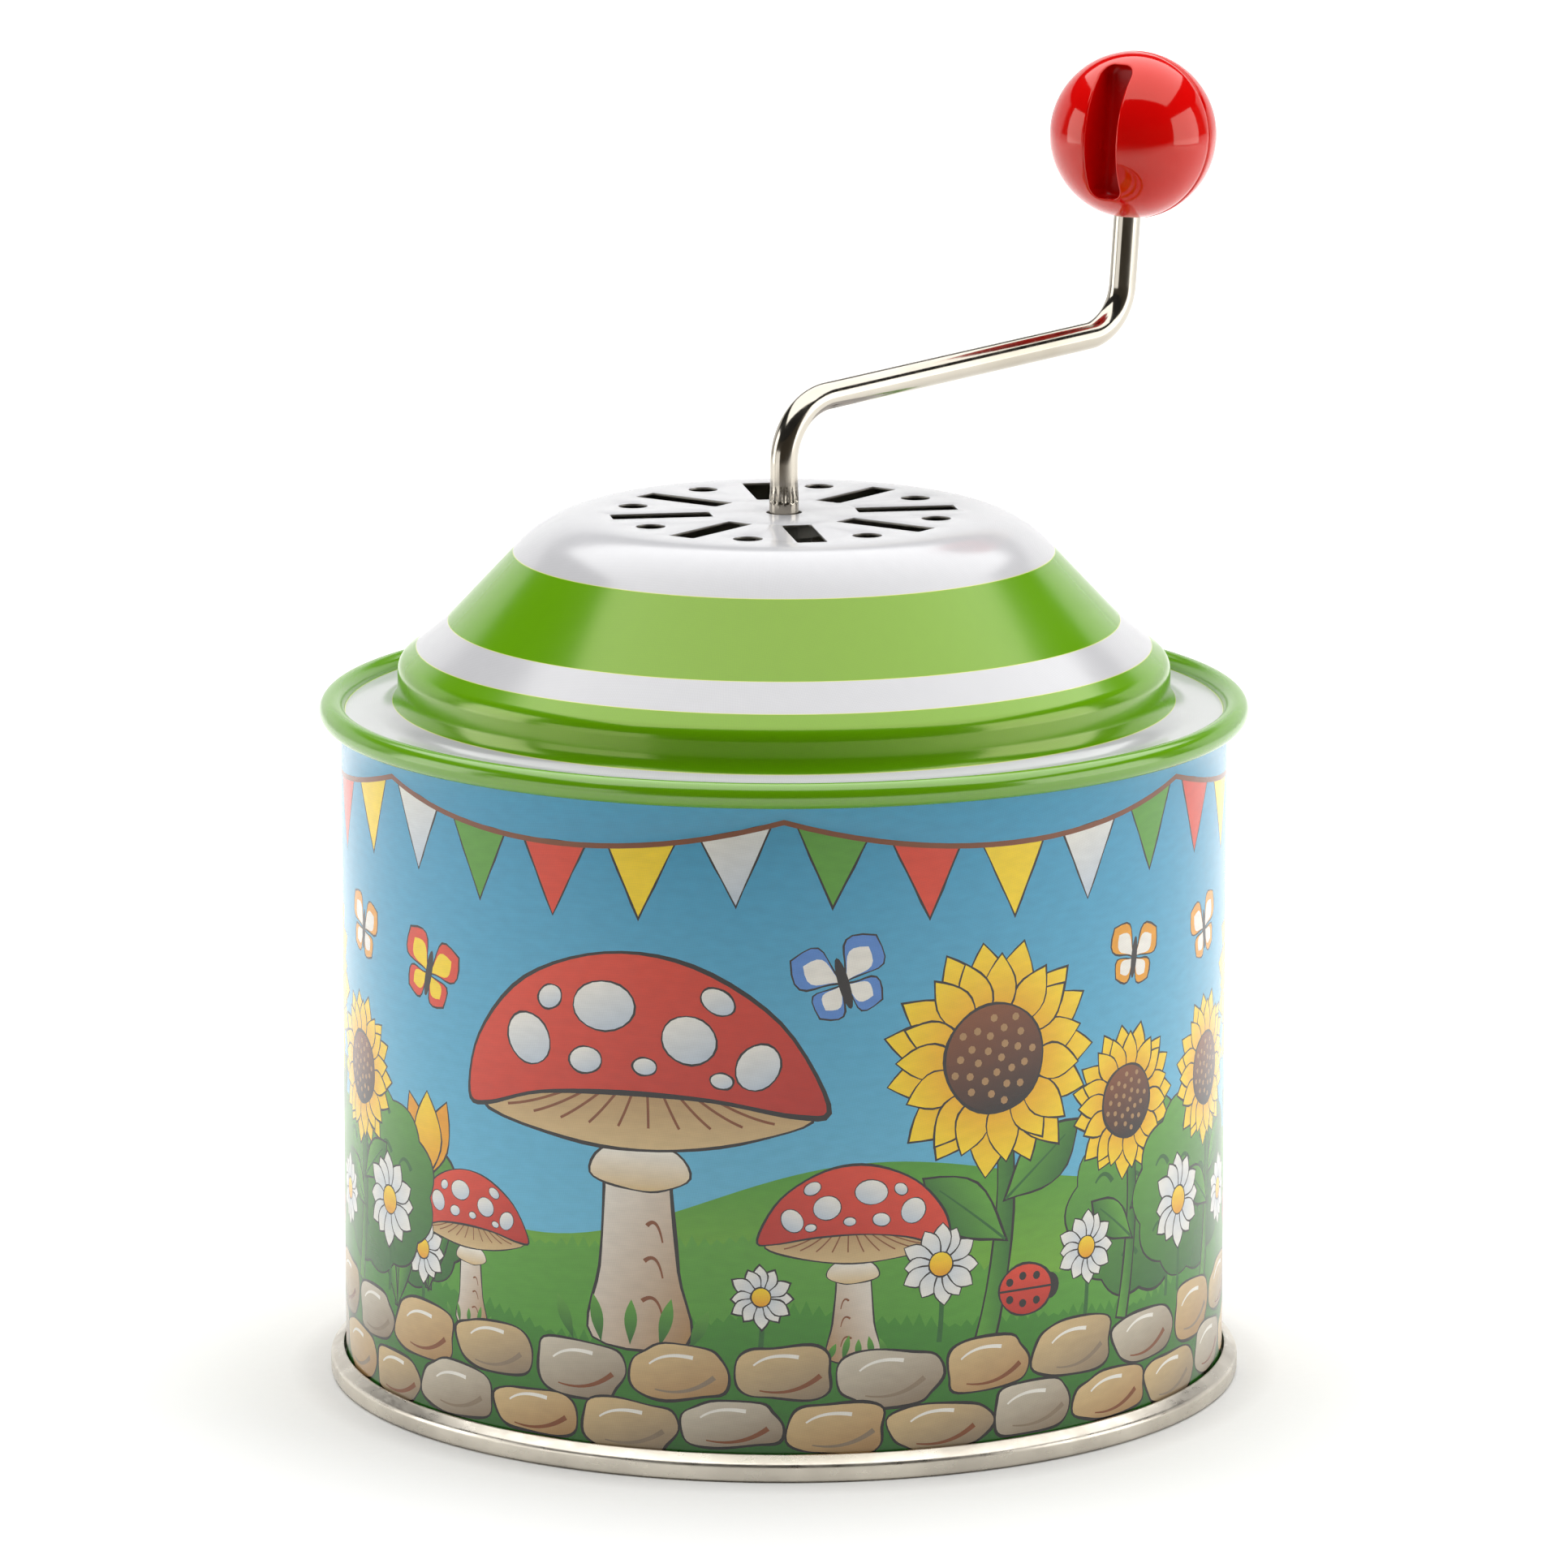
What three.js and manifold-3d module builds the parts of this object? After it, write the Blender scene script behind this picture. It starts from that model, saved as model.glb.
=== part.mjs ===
// A hand-cranked music tin: a round tinplate can with a stepped, domed lid, a bent wire crank with a
// ball knob on top, and an 18-note comb movement screwed to its bottom.
// Millimetres, +Z up. The origin is on the can's axis, on the surface that the tin stands on.
import * as THREE from "three";
import { mergeVertices } from "three/addons/utils/BufferGeometryUtils.js";
import Module from "manifold-3d";

// Fits shared by all pieces
const shellGap = 0.3; // between two shells that are rolled into each other
const seatGap = 0.1; // between flat faces that rest on each other
const runGap = 0.15; // between a shaft and its hole, on the radius
const overrun = 1; // how far a cutter passes a face
const weld = 1e-4; // vertices closer than this are one

// Can and its double-seamed bottom
const sheet = 0.3;
const bodyRadius = 50;
const seamThickness = 1.74;
const seamHeight = 2.9;
const seamRound = 1.2;
const footRound = 0.45;
const seamFloor = 1.1;
const panelHeight = 3.3;
const panelRing = 5;
const panelRise = 0.9;

// Rolled rim, where the lid is curled round the can's lip
const rimHeight = 76.5;
const rimOffset = 1;
const rimTube = 1.4;
const rimStart = 180;
const rimEnd = -108;
const flangeDrop = 0.1;
const lipBelow = 0.15;
const lipShare = 0.75;

// Domed lid, from the rim inwards and upwards
const flangeWidth = 6.05;
const flangeRound = 2.8;
const wallRise = 5.4;
const shoulderRound = 2.2;
const lowerConeWidth = 5.69;
const lowerConeRise = 4.6;
const upperConeWidth = 11.46;
const upperConeRise = 12.15;
const topEdgeRound = 12;
const crankHoleRadius = 2;

// Sound openings in the lid's flat top
const slotCount = 8;
const slotWidth = 3.35;
const slotStart = 8.3;
const slotEnd = 19.6;
const slotTurn = -80.7;
const ventRadius = 1.65;
const ventCircle = 17.5;

// Crank: one bent wire with a fluted foot
const wireRadius = 1.575;
const collarRadius = 1.715;
const collarRise = 1.25;
const fluteLength = 1.8;
const fluteCount = 15;
const footDepth = 14.5;
const lowerBendRise = 12.05;
const lowerBendRadius = 7;
const armReach = 52.16;
const armRise = 3.25;
const upperBendRadius = 6;
const handleLength = 22.52;
const handleLean = 4.98;
const wirePastCentre = 3.5;
const crankTurn = 42;

// Ball knob with a moulded pocket in each half
const knobRadius = 9.7;
const knobTurn = -68;
const pocketWidth = 3.8;
const pocketHeight = 15.3;
const pocketRound = 1.3;
const pocketLift = 0.55;
const pocketWeb = 3.25;
const knobGap = 0.25;

// Worm gear: one thread on the upright spindle turns the barrel's wheel
const gearModule = 0.6;
const wheelTeeth = 26;
const wormRadius = 2.8;
const addendumShare = 1;
const dedendumShare = 1.25;
const pressureAngle = 20;
const backlash = 0.2;
const wheelWidth = 2;
const wormLength = 8.4;
const threadRoot = 0.3;

// Spindle and the moulded sleeve that joins it to the crank
const shaftRadius = 1.3;
const shaftGrip = 8;
const sleeveRadius = 3.2;
const sleeveFlangeRadius = 5;
const sleeveFlangeHeight = 1.5;
const sleeveHeadroom = 0.45;
const clipRadius = 2.6;
const clipHeight = 0.6;

// Barrel, its arbor, end cap and pins
const barrelRadius = 6.5;
const barrelWall = 1;
const barrelMargin = 0.8;
const barrelStart = 2.4;
const arborRadius = 1.1;
const hubRadius = 2.5;
const hubLength = 3;
const spigotLength = 2;
const capFlange = 1;
const capHub = 1.6;
const pinHeight = 0.9;
const pinSide = 0.42;
const pinRoot = 0.4;
const pinsPerTrack = 3;
const pinTurnShare = 0.618;
const pinTrackTurnShare = 0.377;

// Steel comb
const toothCount = 18;
const toothPitch = 1.1;
const toothGap = 0.35;
const longestTooth = 15;
const shortestTooth = 8.5;
const combBase = 8;
const combThickness = 1;
const tipGap = 0.2;

// Cast bedplate and the sheet brackets on it
const postLength = 8.3;
const postRadius = 3;
const plateThickness = 2;
const plateMargin = 2;
const postInset = 4;
const wheelHeadroom = 1.6;
const bossRadius = 3.4;
const bossDrop = 3;
const bossFloor = 0.6;
const bracketSheet = 1.2;
const bracketHalfWidth = 4;
const bracketFoot = 6.5;
const bracketAbove = 4;
const bridgeHeadroom = 3;
const bridgeLegGap = 3.2;
const bridgeReach = 4;

// Screws
const screwRadius = 1.2;
const screwHeadRadius = 2.3;
const screwHeadHeight = 1.5;
const screwHeadRound = 0.5;
const screwSlotWidth = 0.6;
const screwSlotDepth = 0.6;
const screwBite = 5.5;

// How finely round faces are divided
const shellSides = 48;
const roundSides = 20;
const smallSides = 10;
const threadSides = 16;
const knobSides = 26;
const knobBands = 18;
const rimSteps = 8;
const roundSteps = 3;
const pocketSteps = 3;

const turn = 2 * Math.PI;
const radians = THREE.MathUtils.degToRad;
const flat = (x, y) => new THREE.Vector2(x, y);

// Sizes that follow from the ones above
const rimRadius = bodyRadius + rimOffset;
const rimInner = rimRadius - rimTube;
const flangeHeight = rimHeight - flangeDrop;
const wallRadius = rimInner - flangeWidth;
const shoulderHeight = rimHeight + wallRise;
const stepRadius = wallRadius - lowerConeWidth;
const stepHeight = shoulderHeight + lowerConeRise;
const topRadius = stepRadius - upperConeWidth;
const topHeight = stepHeight + upperConeRise;
const movementHeight = panelHeight + sheet + seatGap;
const plateTop = postLength + plateThickness;
const wheelRadius = (gearModule * wheelTeeth) / 2;
const wheelOuter = wheelRadius + gearModule * addendumShare;
const wormOuter = wormRadius + gearModule * addendumShare;
const arborOffset = wormRadius + wheelRadius;
const arborRise = Math.max(wheelOuter, barrelRadius + pinHeight) + wheelHeadroom;
const arborHeight = plateTop + arborRise;
const boreRadius = shaftRadius + runGap;
const combWidth = toothCount * toothPitch;
const barrelFrom = wheelWidth / 2 + barrelStart;
const combFrom = barrelFrom + barrelMargin;
const barrelTo = combFrom + combWidth + barrelMargin;
const capTo = barrelTo + seatGap + capFlange + capHub;
const combTip = arborOffset - barrelRadius - pinHeight - tipGap;
const combFront = combTip - longestTooth;
const combBack = combFront - combBase;
const combHeight = arborHeight - combThickness / 2;
const boreFloor = postLength - bossDrop + bossFloor;
const leftBracket = -(wheelWidth / 2 + hubLength + runGap);
const rightBracket = capTo + runGap;
const bridgeLeg = -(wormOuter + bridgeLegGap);
const bridgeHeight = arborHeight + wormLength / 2 + bridgeHeadroom;
const plateLeft = bridgeLeg - bracketSheet - bracketFoot - plateMargin;
const plateRight = rightBracket + bracketSheet + bracketFoot + plateMargin;
const plateFront = combBack - plateMargin;
const plateBack = arborOffset + bracketHalfWidth + plateMargin;
const shaftTop = bridgeHeight + bracketSheet + seatGap + clipHeight + shaftGrip;
const posts = [
  flat(plateLeft + postInset, plateFront + postInset),
  flat(plateRight - postInset, plateFront + postInset),
  flat((plateLeft + plateRight) / 2, plateBack - postInset),
];
const bracketScrews = [
  flat(leftBracket - bracketSheet - bracketFoot / 2, arborOffset),
  flat(rightBracket + bracketSheet + bracketFoot / 2, arborOffset),
  flat(bridgeLeg - bracketSheet - bracketFoot / 2, 0),
];
const combScrews = [combFrom + combWidth / 4, combFrom + (combWidth * 3) / 4]
  .map((x) => flat(x, (combFront + combBack) / 2));

const wasm = await Module();
wasm.setup();

/** A closed geometry as a solid whose faces point out. */
function toSolid(geometry) {
  const bare = geometry.clone();
  bare.deleteAttribute("normal");
  bare.deleteAttribute("uv");
  const merged = mergeVertices(bare, weld);
  const corners = merged.attributes.position.array;
  const triangles = [];
  let volume = 0;
  const point = (i) => new THREE.Vector3().fromArray(corners, 3 * i);
  for (let i = 0; i < merged.index.count; i += 3) {
    const [a, b, c] = merged.index.array.slice(i, i + 3);
    if (a === b || b === c || c === a) continue;
    triangles.push([a, b, c]);
    volume += point(a).dot(point(b).cross(point(c)));
  }
  if (volume < 0) triangles.forEach((triangle) => triangle.reverse());
  return new wasm.Manifold(new wasm.Mesh({
    numProp: 3,
    vertProperties: Float32Array.from(corners),
    triVerts: Uint32Array.from(triangles.flat()),
  }));
}

/** A solid's surface as a geometry. */
function toGeometry(solid) {
  const surface = solid.getMesh();
  const geometry = new THREE.BufferGeometry();
  geometry.setAttribute("position", new THREE.BufferAttribute(surface.vertProperties, 3));
  geometry.setIndex(new THREE.BufferAttribute(surface.triVerts, 1));
  geometry.computeVertexNormals();
  return geometry;
}

/** The solid turned about Z from an outline of (radius, height) points, closed on itself or on the axis. */
function turned(outline, sides) {
  const onAxis = outline[0].x === 0 && outline[outline.length - 1].x === 0;
  const points = onAxis ? outline : [...outline, outline[0]];
  return toSolid(new THREE.LatheGeometry(points, sides).rotateX(Math.PI / 2));
}

/** A round bar about Z between two heights. */
function bar(radius, low, high, sides = roundSides) {
  const geometry = new THREE.CylinderGeometry(radius, radius, high - low, sides).rotateX(Math.PI / 2);
  return toSolid(geometry.translate(0, 0, (low + high) / 2));
}

/** A round cutter about Z that passes both of its heights. */
function drill(radius, low, high) {
  return bar(radius, low - overrun, high + overrun, smallSides);
}

/** A box between two corners. */
function block(low, high) {
  const size = high.map((value, axis) => value - low[axis]);
  const middle = high.map((value, axis) => (value + low[axis]) / 2);
  return toSolid(new THREE.BoxGeometry(...size).translate(...middle));
}

/** A flat outline raised from one height to another. */
function raised(outline, low, high) {
  const options = { depth: high - low, bevelEnabled: false, curveSegments: smallSides };
  const shape = outline instanceof THREE.Shape ? outline : new THREE.Shape(outline);
  return toSolid(new THREE.ExtrudeGeometry(shape, options).translate(0, 0, low));
}

/** Points on an arc about a centre, both ends included. */
function arc(centre, radius, from, to, steps) {
  return Array.from({ length: steps + 1 }, (_, i) => {
    const angle = radians(from + ((to - from) * i) / steps);
    return flat(centre.x + radius * Math.cos(angle), centre.y + radius * Math.sin(angle));
  });
}

/** A run of corners, each {at, round}, with every rounded corner turned into an arc of points. */
function rounded(corners, steps) {
  return corners.flatMap(({ at, round }, i) => {
    if (!round) return [at];
    const into = at.clone().sub(corners[i - 1].at).normalize();
    const out = corners[i + 1].at.clone().sub(at).normalize();
    const bend = Math.atan2(into.cross(out), into.dot(out));
    const start = at.clone().addScaledVector(into, -round * Math.tan(Math.abs(bend) / 2));
    const side = flat(-into.y, into.x).multiplyScalar(Math.sign(bend));
    const centre = start.clone().addScaledVector(side, round);
    const swept = (k) => start.clone().rotateAround(centre, (bend * k) / steps);
    return Array.from({ length: steps + 1 }, (_, k) => swept(k));
  });
}

/** The closed outline of a sheet whose one face runs along a line, and which lies to the left of it. */
function sheeted(line, thickness) {
  const other = line.map((at, i) => {
    const into = at.clone().sub(line[Math.max(i - 1, 0)]).normalize();
    const out = line[Math.min(i + 1, line.length - 1)].clone().sub(at).normalize();
    const along = into.clone().add(out).normalize();
    const share = Math.max(Math.abs(into.dot(along)), Math.abs(out.dot(along)));
    return at.clone().addScaledVector(flat(-along.y, along.x), thickness / share);
  });
  return [...line, ...other.reverse()];
}

/** The can's printed wall: its foot stands in the bottom's seam and its lip flares inside the rolled rim. */
function bodyCan() {
  const lipStart = rimHeight - rimOffset - lipBelow;
  const lip = rimOffset * lipShare;
  const line = [
    flat(bodyRadius, seamFloor + shellGap),
    flat(bodyRadius, lipStart),
    flat(bodyRadius + lip, lipStart + lip),
  ];
  return turned(sheeted(line, sheet), shellSides);
}

/** The bottom: a recessed panel, its upright wall and the seam that grips the can's foot. */
function bottomPlate() {
  const outer = bodyRadius + seamThickness;
  const hook = bodyRadius + shellGap;
  const wallOutside = bodyRadius - sheet - shellGap;
  const wallInside = wallOutside - sheet;
  const ring = wallInside - panelRing;
  const high = panelHeight + panelRise;
  const seamCorners = [
    { at: flat(outer, footRound) },
    { at: flat(outer, seamHeight), round: seamRound },
    { at: flat(hook, seamHeight) },
  ];
  const outline = [
    flat(0, panelHeight),
    flat(ring, panelHeight),
    flat(ring + panelRise, high),
    flat(wallInside, high),
    flat(wallInside, footRound),
    flat(wallInside + footRound, 0),
    flat(outer - footRound, 0),
    ...rounded(seamCorners, roundSteps),
    flat(hook, seamFloor),
    flat(wallOutside, seamFloor),
    flat(wallOutside, high + sheet),
    flat(ring + panelRise, high + sheet),
    flat(ring, panelHeight + sheet),
    flat(0, panelHeight + sheet),
  ];
  let plate = turned(outline, shellSides);
  for (const post of posts) {
    const hole = drill(screwRadius + runGap, panelHeight, panelHeight + sheet);
    plate = plate.subtract(hole.translate(post.x, post.y, 0));
  }
  return plate;
}

/** The lid: a flat top, two cones, a wall, a flange and the rolled rim, cut with slots and round holes. */
function domeLid() {
  const corners = [
    { at: flat(crankHoleRadius, topHeight) },
    { at: flat(topRadius, topHeight), round: topEdgeRound },
    { at: flat(stepRadius, stepHeight) },
    { at: flat(wallRadius, shoulderHeight), round: shoulderRound },
    { at: flat(wallRadius, flangeHeight), round: flangeRound },
    { at: flat(rimInner, flangeHeight) },
  ];
  const rim = arc(flat(rimRadius, rimHeight), rimTube, rimStart, rimEnd, rimSteps);
  const line = [...rounded(corners, roundSteps), ...rim].reverse();
  let lid = turned(sheeted(line, sheet), shellSides);
  const half = slotWidth / 2;
  const low = topHeight - topEdgeRound;
  const high = topHeight + overrun;
  const slot = block([slotStart, -half, low], [slotEnd, half, high]);
  const vent = bar(ventRadius, low, high, smallSides).translate(ventCircle, 0, 0);
  for (let i = 0; i < slotCount; i += 1) {
    const step = 360 / slotCount;
    lid = lid.subtract(slot.rotate(0, 0, slotTurn + i * step));
    lid = lid.subtract(vent.rotate(0, 0, slotTurn + (i + 1 / 2) * step));
  }
  return lid;
}

/** A bend in the XZ plane: an arc between two directions, given by its start and its turning. */
class Bend extends THREE.Curve {
  constructor(start, heading, bend, radius) {
    super();
    Object.assign(this, { start, heading, bend, radius });
  }

  getPoint(share, target = new THREE.Vector3()) {
    const side = Math.sign(this.bend);
    const swept = this.heading + this.bend * share;
    const x = this.radius * side * (Math.sin(swept) - Math.sin(this.heading));
    const z = this.radius * side * (Math.cos(this.heading) - Math.cos(swept));
    return target.set(this.start.x + x, 0, this.start.z + z);
  }
}

/** The crank's corners: foot, lower bend, upper bend and the wire's end inside the knob. */
function crankCorners() {
  const lean = radians(handleLean);
  const upper = new THREE.Vector3(armReach, 0, lowerBendRise + armRise);
  const along = new THREE.Vector3(Math.sin(lean), 0, Math.cos(lean));
  return [
    new THREE.Vector3(0, 0, -footDepth),
    new THREE.Vector3(0, 0, lowerBendRise),
    upper,
    upper.clone().addScaledVector(along, handleLength + wirePastCentre),
  ];
}

/** The crank: a wire bent twice in one plane, thickened and fluted where it enters the lid. */
function crankWire() {
  const corners = crankCorners();
  const path = new THREE.CurvePath();
  const radii = [lowerBendRadius, upperBendRadius];
  let from = corners[0];
  radii.forEach((radius, i) => {
    const [before, at, after] = corners.slice(i, i + 3);
    const into = at.clone().sub(before).normalize();
    const out = after.clone().sub(at).normalize();
    const heading = Math.atan2(into.z, into.x);
    const bend = Math.atan2(out.z, out.x) - heading;
    const start = at.clone().addScaledVector(into, -radius * Math.tan(Math.abs(bend) / 2));
    const curve = new Bend(start, heading, bend, radius);
    path.add(new THREE.LineCurve3(from, start));
    path.add(curve);
    from = curve.getPoint(1);
  });
  path.add(new THREE.LineCurve3(from, corners[3]));
  const section = new THREE.Shape(arc(flat(0, 0), wireRadius, 0, 360, smallSides).slice(0, -1));
  const steps = Math.round(path.getLength() / wireRadius);
  const wire = toSolid(new THREE.ExtrudeGeometry(section, { steps, extrudePath: path, bevelEnabled: false }));
  const flutes = Array.from({ length: 2 * fluteCount }, (_, i) => {
    const radius = i % 2 ? collarRadius : wireRadius;
    const angle = (turn * i) / (2 * fluteCount);
    return flat(radius * Math.cos(angle), radius * Math.sin(angle));
  });
  const collar = bar(collarRadius, seatGap - footDepth, collarRise, 2 * fluteCount);
  return wire.add(collar).add(raised(flutes, 0, collarRise + fluteLength));
}

/** The ball knob: a bore from below for the wire and a narrow pocket in each side. */
function crankKnob() {
  const ball = new THREE.SphereGeometry(knobRadius, knobSides, knobBands);
  const half = pocketWidth / 2 - pocketRound;
  const tall = pocketHeight / 2 - pocketRound;
  const outline = [
    ...arc(flat(half, pocketLift + tall), pocketRound, 0, 90, pocketSteps),
    ...arc(flat(-half, pocketLift + tall), pocketRound, 90, 180, pocketSteps),
    ...arc(flat(-half, pocketLift - tall), pocketRound, 180, 270, pocketSteps),
    ...arc(flat(half, pocketLift - tall), pocketRound, 270, 360, pocketSteps),
  ];
  const pocket = raised(outline, pocketWeb, knobRadius + overrun).rotate(90, 0, 0);
  const bore = bar(wireRadius + knobGap, -knobRadius - overrun, wirePastCentre + knobGap, smallSides);
  let knob = toSolid(ball.rotateX(Math.PI / 2)).subtract(bore);
  for (const side of [0, 180]) knob = knob.subtract(pocket.rotate(0, 0, side));
  return knob;
}

/** The moulded sleeve: takes the spindle at its foot and the crank at its head, under the lid. */
function driveSleeve(low, high) {
  const sleeve = bar(sleeveRadius, low, high).add(bar(sleeveFlangeRadius, high - sleeveFlangeHeight, high));
  const lower = bar(boreRadius, low - overrun, low + shaftGrip + runGap, smallSides);
  const wireFoot = high + sleeveHeadroom + sheet - footDepth;
  const upper = bar(collarRadius + runGap, wireFoot - runGap, high + overrun);
  return sleeve.subtract(lower).subtract(upper);
}

/** The worm: a right-handed thread wound on a core, bored for the spindle. */
function wormScrew() {
  const lead = Math.PI * gearModule;
  const root = wormRadius - gearModule * dedendumShare;
  const slope = Math.tan(radians(pressureAngle));
  const halfAt = (radius) => lead / 4 - backlash / 4 - slope * (radius - wormRadius);
  const turns = wormLength / lead - 1;
  const steps = Math.round(turns * threadSides);
  const ring = [
    [root - threadRoot, -halfAt(root)],
    [wormOuter, -halfAt(wormOuter)],
    [wormOuter, halfAt(wormOuter)],
    [root - threadRoot, halfAt(root)],
  ];
  const corners = [];
  for (let i = 0; i <= steps; i += 1) {
    const wound = (i / steps - 1 / 2) * turns;
    const angle = turn * (wound + 1 / 4);
    for (const [radius, rise] of ring) {
      corners.push(radius * Math.cos(angle), radius * Math.sin(angle), wound * lead + rise);
    }
  }
  const count = ring.length;
  const index = [0, 2, 1, 0, 3, 2];
  for (let i = 0; i < steps; i += 1) {
    for (let side = 0; side < count; side += 1) {
      const [a, b] = [count * i + side, count * i + ((side + 1) % count)];
      index.push(a, b, b + count, a, b + count, a + count);
    }
  }
  const last = count * steps;
  index.push(last, last + 1, last + 2, last, last + 2, last + 3);
  const thread = new THREE.BufferGeometry();
  thread.setAttribute("position", new THREE.Float32BufferAttribute(corners, 3));
  thread.setIndex(index);
  const half = wormLength / 2;
  const core = bar(root, -half, half, threadSides);
  return core.add(toSolid(thread)).subtract(drill(boreRadius, -half, half));
}

/** The worm wheel about Z: slanting teeth, a plain hub on one side and the barrel's spigot on the other. */
function wormWheel() {
  const root = wheelRadius - gearModule * dedendumShare;
  const slope = Math.tan(radians(pressureAngle));
  const pitch = Math.PI * gearModule;
  const halfAt = (radius) => pitch / 4 - backlash / 4 - slope * (radius - wheelRadius);
  const outline = [];
  for (let i = 0; i < wheelTeeth; i += 1) {
    const middle = Math.PI + (turn * (i + 1 / 2)) / wheelTeeth;
    for (const [radius, side] of [[root, -1], [wheelOuter, -1], [wheelOuter, 1], [root, 1]]) {
      const angle = middle + (side * halfAt(radius)) / radius;
      outline.push(flat(radius * Math.cos(angle), radius * Math.sin(angle)));
    }
  }
  const half = wheelWidth / 2;
  const lead = pitch / (turn * wormRadius);
  const slant = (at) => (at.z * lead) / wheelRadius;
  const options = { depth: wheelWidth, bevelEnabled: false };
  const blank = new THREE.ExtrudeGeometry(new THREE.Shape(outline), options);
  blank.translate(0, 0, -half).rotateZ(-Math.PI / 2);
  const places = blank.attributes.position;
  for (let i = 0; i < places.count; i += 1) {
    const at = new THREE.Vector3().fromBufferAttribute(places, i);
    at.applyAxisAngle(new THREE.Vector3(0, 0, 1), slant(at));
    places.setXYZ(i, at.x, at.y, at.z);
  }
  const spigot = barrelRadius - barrelWall - runGap;
  return toSolid(blank)
    .add(bar(hubRadius, -half - hubLength, 0))
    .add(bar(spigot, 0, barrelFrom + spigotLength))
    .subtract(drill(arborRadius + runGap, -half - hubLength, barrelTo));
}

/** The barrel: a tube studded with pins in one track for each tooth of the comb. */
function pinnedBarrel() {
  const inside = barrelRadius - barrelWall;
  const tube = turned([
    flat(inside, barrelFrom), flat(barrelRadius, barrelFrom),
    flat(barrelRadius, barrelTo), flat(inside, barrelTo),
  ], roundSides);
  const half = pinSide / 2;
  const pin = block([barrelRadius - pinRoot, -half, -half], [barrelRadius + pinHeight, half, half]);
  const pins = [];
  for (let track = 0; track < toothCount; track += 1) {
    for (let i = 0; i < pinsPerTrack; i += 1) {
      const share = track * pinTurnShare + (i / pinsPerTrack) + i * i * pinTrackTurnShare / toothCount;
      pins.push(pin.rotate(0, 0, 360 * share).translate(0, 0, combFrom + (track + 1 / 2) * toothPitch));
    }
  }
  return wasm.Manifold.union([tube, ...pins]);
}

/** The barrel's end cap: a spigot in the tube, a flange and a hub that runs against the bracket. */
function barrelCap() {
  const flange = barrelTo + seatGap;
  const spigot = barrelRadius - barrelWall - runGap;
  return bar(spigot, barrelTo - spigotLength, flange)
    .add(bar(barrelRadius, flange, flange + capFlange))
    .add(bar(hubRadius, flange, capTo))
    .subtract(drill(arborRadius + runGap, barrelFrom, capTo));
}

/** The comb: graded teeth on a thick base with two screw holes. */
function musicComb() {
  const outline = [flat(combFrom, combBack), flat(combFrom + combWidth, combBack)];
  for (let i = toothCount - 1; i >= 0; i -= 1) {
    const length = shortestTooth + ((longestTooth - shortestTooth) * (toothCount - 1 - i)) / (toothCount - 1);
    const right = combFrom + (i + 1) * toothPitch - toothGap / 2;
    const left = combFrom + i * toothPitch + toothGap / 2;
    const root = combTip - length;
    outline.push(flat(right, root), flat(right, combTip), flat(left, combTip), flat(left, root));
  }
  let comb = raised(outline, combHeight, combHeight + combThickness);
  const hole = drill(screwRadius + runGap, combHeight, combHeight + combThickness);
  for (const at of combScrews) comb = comb.subtract(hole.translate(at.x, at.y, 0));
  return comb;
}

/** The cast bedplate: plate, posts, comb rest and spindle boss, with its screw holes. */
function bedplate() {
  const boss = postLength - bossDrop;
  let plate = block([plateLeft, plateFront, postLength], [plateRight, plateBack, plateTop])
    .add(block([combFrom, combBack, postLength], [combFrom + combWidth, combFront, combHeight - seatGap]))
    .add(bar(bossRadius, boss, plateTop));
  for (const post of posts) {
    plate = plate.add(bar(postRadius, 0, plateTop).translate(post.x, post.y, 0));
    const hole = bar(screwRadius + runGap, -overrun, screwBite + runGap, smallSides);
    plate = plate.subtract(hole.translate(post.x, post.y, 0));
  }
  plate = plate.subtract(bar(boreRadius, boreFloor, plateTop + overrun, smallSides));
  for (const at of combScrews) {
    const hole = bar(screwRadius + runGap, combHeight - screwBite, combHeight + overrun, smallSides);
    plate = plate.subtract(hole.translate(at.x, at.y, 0));
  }
  for (const at of bracketScrews) {
    const hole = drill(screwRadius + runGap, postLength, plateTop);
    plate = plate.subtract(hole.translate(at.x, at.y, 0));
  }
  return plate;
}

/** An upright bracket for one end of the arbor: a foot on the bedplate and a leg with a hole. */
function arborBracket(face, side) {
  const low = plateTop + seatGap;
  const back = face + side * bracketSheet;
  const end = back + side * bracketFoot;
  const [legLeft, legRight] = [Math.min(face, back), Math.max(face, back)];
  const [footLeft, footRight] = [Math.min(face, end), Math.max(face, end)];
  const from = arborOffset - bracketHalfWidth;
  const to = arborOffset + bracketHalfWidth;
  const leg = block([legLeft, from, low], [legRight, to, arborHeight + bracketAbove]);
  const foot = block([footLeft, from, low], [footRight, to, low + bracketSheet]);
  const hole = drill(arborRadius + runGap, 0, bracketSheet).rotate(0, 90, 0);
  const screwHole = drill(screwRadius + runGap, low, low + bracketSheet);
  return leg.add(foot)
    .subtract(hole.translate(legLeft, arborOffset, arborHeight))
    .subtract(screwHole.translate((back + end) / 2, arborOffset, 0));
}

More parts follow.
